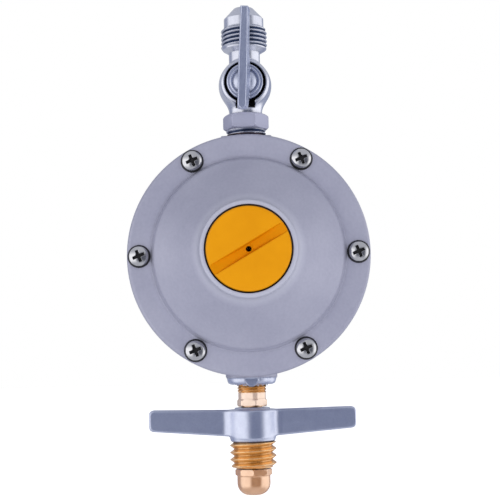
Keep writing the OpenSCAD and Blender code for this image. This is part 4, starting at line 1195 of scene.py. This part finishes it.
def lever_field(x, y, z):
    out = -y
    rise = z - BALL_Z
    reach = np.hypot(x, rise)
    whole = low_blend(lever_blade(x, out, rise), lever_base(reach, out), 0.3)
    socket = high_blend(np.maximum(np.abs(x), np.abs(rise)) - LEVER_SOCKET, out - LEVER_SOCKET_END, 0.3)
    quarter = np.maximum(-x, -rise) - STOP_REACH
    groove = np.maximum(np.maximum(STOP_RING - STOP_REACH - reach, out - STOP_END), quarter)
    return high_blend(whole, -np.minimum(socket, groove), 0.3)


lever_mesh = cast("lever_handle", lever_field, LEVER_LO, LEVER_HI, 0.18)
piece("lever_handle", lever_mesh, "outlet_lever", "dark_zinc", "valve_lever")


# Diaphragm: a clamped rim and a web
CENTRE_H = 8.0
CENTRE_BORE_R = 2.04
WEB_T = 1
ROLL_R = 2.2
ROLL_X = 24.2
WEB_EDGE = CHAMBER_R - 1.2
rim_outline = ring_outline(WEB_EDGE, FLANGE_R - 0.05, JOINT_H, COVER_H, 0.25)
rim_mesh = spin("diaphragm_rim", rim_outline, "body", 160)
piece("diaphragm_rim", rim_mesh, "housing", "black_rubber", "diaphragm")
web_outline = ([(CENTRE_BORE_R, CENTRE_H)] + arc(ROLL_X, CENTRE_H, ROLL_R, 180, 300, 10)
               + [(WEB_EDGE, JOINT_H + 0.1), (WEB_EDGE, COVER_H - 0.1)]
               + arc(ROLL_X, CENTRE_H, ROLL_R - WEB_T, 300, 180, 10)
               + [(ROLL_X - ROLL_R + WEB_T, CENTRE_H + WEB_T), (CENTRE_BORE_R, CENTRE_H + WEB_T)])
web_mesh = spin("diaphragm_web", fine(web_outline), "body", 128)
web = piece("diaphragm_web", web_mesh, "housing", "black_rubber")
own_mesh(web)


# Coil spring in two pieces: the rear one on the housing and the front one unattached
WIRE_R = 0.7
COIL_R = (SPRING_HI[0] - SPRING_LO[0]) / 2 - WIRE_R
COIL_LOW = -SPRING_HI[1] + WIRE_R
COIL_HIGH = -SPRING_LO[1] - WIRE_R
COIL_TURNS = 4
COIL_SPLIT = 0.6


def coil(name, first, last):
    """Part of the spring, from one share of its length to another."""
    per_turn, sides = 40, 12
    steps = round((last - first) * COIL_TURNS * per_turn)
    verts = []
    for i in range(steps + 1):
        t = first + (last - first) * i / steps
        a = TAU * COIL_TURNS * t
        for k in range(sides):
            b = TAU * k / sides
            r = COIL_R + WIRE_R * math.cos(b)
            h = COIL_LOW + (COIL_HIGH - COIL_LOW) * t + WIRE_R * math.sin(b)
            verts.append([c * MM for c in (r * math.cos(a), -h, BODY_Z + r * math.sin(a))])
    faces = []
    for i in range(steps):
        for k in range(sides):
            m = (k + 1) % sides
            faces.append((i * sides + k, i * sides + m, (i + 1) * sides + m, (i + 1) * sides + k))
    end = steps * sides
    faces.append(tuple(range(sides))[::-1])
    faces.append(tuple(range(end, end + sides)))
    mesh = bpy.data.meshes.new(name)
    mesh.from_pydata(verts, [], faces)
    mesh.shade_smooth()
    mesh.set_sharp_from_angle(angle=math.radians(50))
    return mesh


rear_coil_mesh = coil("coil_spring", 0, COIL_SPLIT)
rear_coil = piece("coil_spring", rear_coil_mesh, "housing", "plain_steel", "main_spring")
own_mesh(rear_coil)
front_coil_mesh = coil("coil_spring_front", COIL_SPLIT, 1)
front_coil = piece("coil_spring_front", front_coil_mesh, None, "plain_steel")
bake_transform(front_coil)


# Floor
FLOOR_SIZE = 6
FLOOR_DARK = (0.93, 0.93, 0.93)
FLOOR_LIGHT = (0.95, 0.95, 0.95)
FLOOR_GLOW = 0.85


def floor():
    """White paper under the nose, which casts and takes no shadow."""
    place = (0, 0, NOSE_TIP * MM)
    bpy.ops.mesh.primitive_grid_add(x_subdivisions=2, y_subdivisions=2, size=FLOOR_SIZE, location=place)
    obj = bpy.context.object
    obj.name = "floor"
    mat, tree, shader = nodes_of("floor_paper")
    colour = tinted(tree, noise(tree, 0.01), FLOOR_DARK, FLOOR_LIGHT)
    tree.links.new(colour, shader.inputs["Base Color"])
    shader.inputs["Roughness"].default_value = 0.9
    shader.inputs["Emission Color"].default_value = (1, 1, 1, 1)
    shader.inputs["Emission Strength"].default_value = FLOOR_GLOW
    obj.data.materials.append(mat)
    obj.visible_glossy = False
    obj.visible_diffuse = False
    obj.visible_shadow = False


floor()


# Studio light: a light tent that is dark round the camera and bright at both sides
TENT_STRENGTH = 0.95
TENT_SHINE = 1.45
TENT_TOP = (0.42, 0.43, 0.47)
TENT_DARK = (0.09, 0.095, 0.12)
TENT_EDGE = (0.24, 0.26, 0.34)
TENT_BRIGHT = (0.95, 0.95, 0.98)
TENT = [(0, TENT_DARK), (30, TENT_DARK), (46, TENT_BRIGHT), (112, TENT_BRIGHT), (128, TENT_EDGE),
        (150, TENT_EDGE), (180, TENT_TOP)]
TENT_TURN = math.radians(16)
TENT_BAND = (0.3, 0.62)
TENT_TILT = -0.06


def sky():
    """Tent by the angle round the part, brighter in mirrors, with a plain roof, and white to the camera."""
    world = bpy.data.worlds.new("studio")
    bpy.context.scene.world = world
    world.use_nodes = True
    tree = world.node_tree
    back = tree.nodes["Background"]
    path = add_node(tree, "ShaderNodeLightPath")
    strength = remap(tree, path.outputs["Is Glossy Ray"], (0, 1), (TENT_STRENGTH, TENT_SHINE))
    tree.links.new(strength, back.inputs["Strength"])
    coord = add_node(tree, "ShaderNodeTexCoord")
    axes = add_node(tree, "ShaderNodeSeparateXYZ")
    tree.links.new(coord.outputs["Generated"], axes.inputs[0])
    ahead = calc(tree, "MULTIPLY", axes.outputs["Y"], -1)
    angle = calc(tree, "SUBTRACT", calc(tree, "ARCTAN2", axes.outputs["X"], ahead), TENT_TURN)
    angle = calc(tree, "ABSOLUTE", calc(tree, "WRAP", angle, math.pi, -math.pi))
    stops = [(turn / 180, colour) for turn, colour in TENT]
    sides = ramp(tree, calc(tree, "DIVIDE", angle, math.pi), stops)
    rise = calc(tree, "ABSOLUTE", calc(tree, "SUBTRACT", axes.outputs["Z"], TENT_TILT))
    tree.links.new(mixed(tree, remap(tree, rise, TENT_BAND), sides, TENT_TOP), back.inputs["Color"])
    seen = add_node(tree, "ShaderNodeBackground", Color=(1, 1, 1, 1), Strength=1.0)
    mix = add_node(tree, "ShaderNodeMixShader")
    tree.links.new(path.outputs["Is Camera Ray"], mix.inputs[0])
    tree.links.new(back.outputs[0], mix.inputs[1])
    tree.links.new(seen.outputs[0], mix.inputs[2])
    tree.links.new(mix.outputs[0], tree.nodes["World Output"].inputs["Surface"])


# Soft fill from the front, which lights paint and castings and makes no mirror spot
FILL_POWER = 8.8
FILL_SIZE = 0.9
FILL_PLACE = (0.25, -1.2, -0.2)


def fill():
    data = bpy.data.lights.new("front_fill", "AREA")
    data.energy = FILL_POWER
    data.size = FILL_SIZE
    obj = bpy.data.objects.new("front_fill", data)
    bpy.context.scene.collection.objects.link(obj)
    place = Vector(FILL_PLACE)
    aim = Vector((0, 0, BODY_Z * MM)) - place
    obj.matrix_world = Matrix.Translation(place) @ aim.to_track_quat("-Z", "Y").to_matrix().to_4x4()
    obj.visible_glossy = False
    obj.visible_camera = False


sky()
fill()
bpy.context.scene.view_settings.view_transform = "Standard"


# Camera at the photograph's angle: a little below the middle, with a slight roll
IMAGE = 500
CAM_DISTANCE = 420.0
CAM_TARGET_Z = 77.756
CAM_PITCH = math.radians(5.5)
CAM_ROLL = math.radians(1.3)
CAM_SCALE = 0.341
CAM_SHIFT_PX = 1.3
SENSOR = 36.0


def camera():
    data = bpy.data.cameras.new("photo_camera")
    data.sensor_width = SENSOR
    data.lens = CAM_DISTANCE / CAM_SCALE * SENSOR / IMAGE
    data.shift_x = CAM_SHIFT_PX / IMAGE
    data.clip_start = 0.01
    obj = bpy.data.objects.new("photo_camera", data)
    bpy.context.scene.collection.objects.link(obj)
    ahead = Vector((0, math.cos(CAM_PITCH), math.sin(CAM_PITCH)))
    right = Vector((1, 0, 0))
    up = Vector((0, -math.sin(CAM_PITCH), math.cos(CAM_PITCH)))
    local_x = right * math.cos(CAM_ROLL) - up * math.sin(CAM_ROLL)
    local_y = right * math.sin(CAM_ROLL) + up * math.cos(CAM_ROLL)
    place = Vector((0, 0, CAM_TARGET_Z)) - CAM_DISTANCE * ahead
    turn = Matrix((local_x, local_y, -ahead)).transposed().to_4x4()
    obj.matrix_world = Matrix.Translation(place * MM) @ turn
    bpy.context.scene.camera = obj


camera()
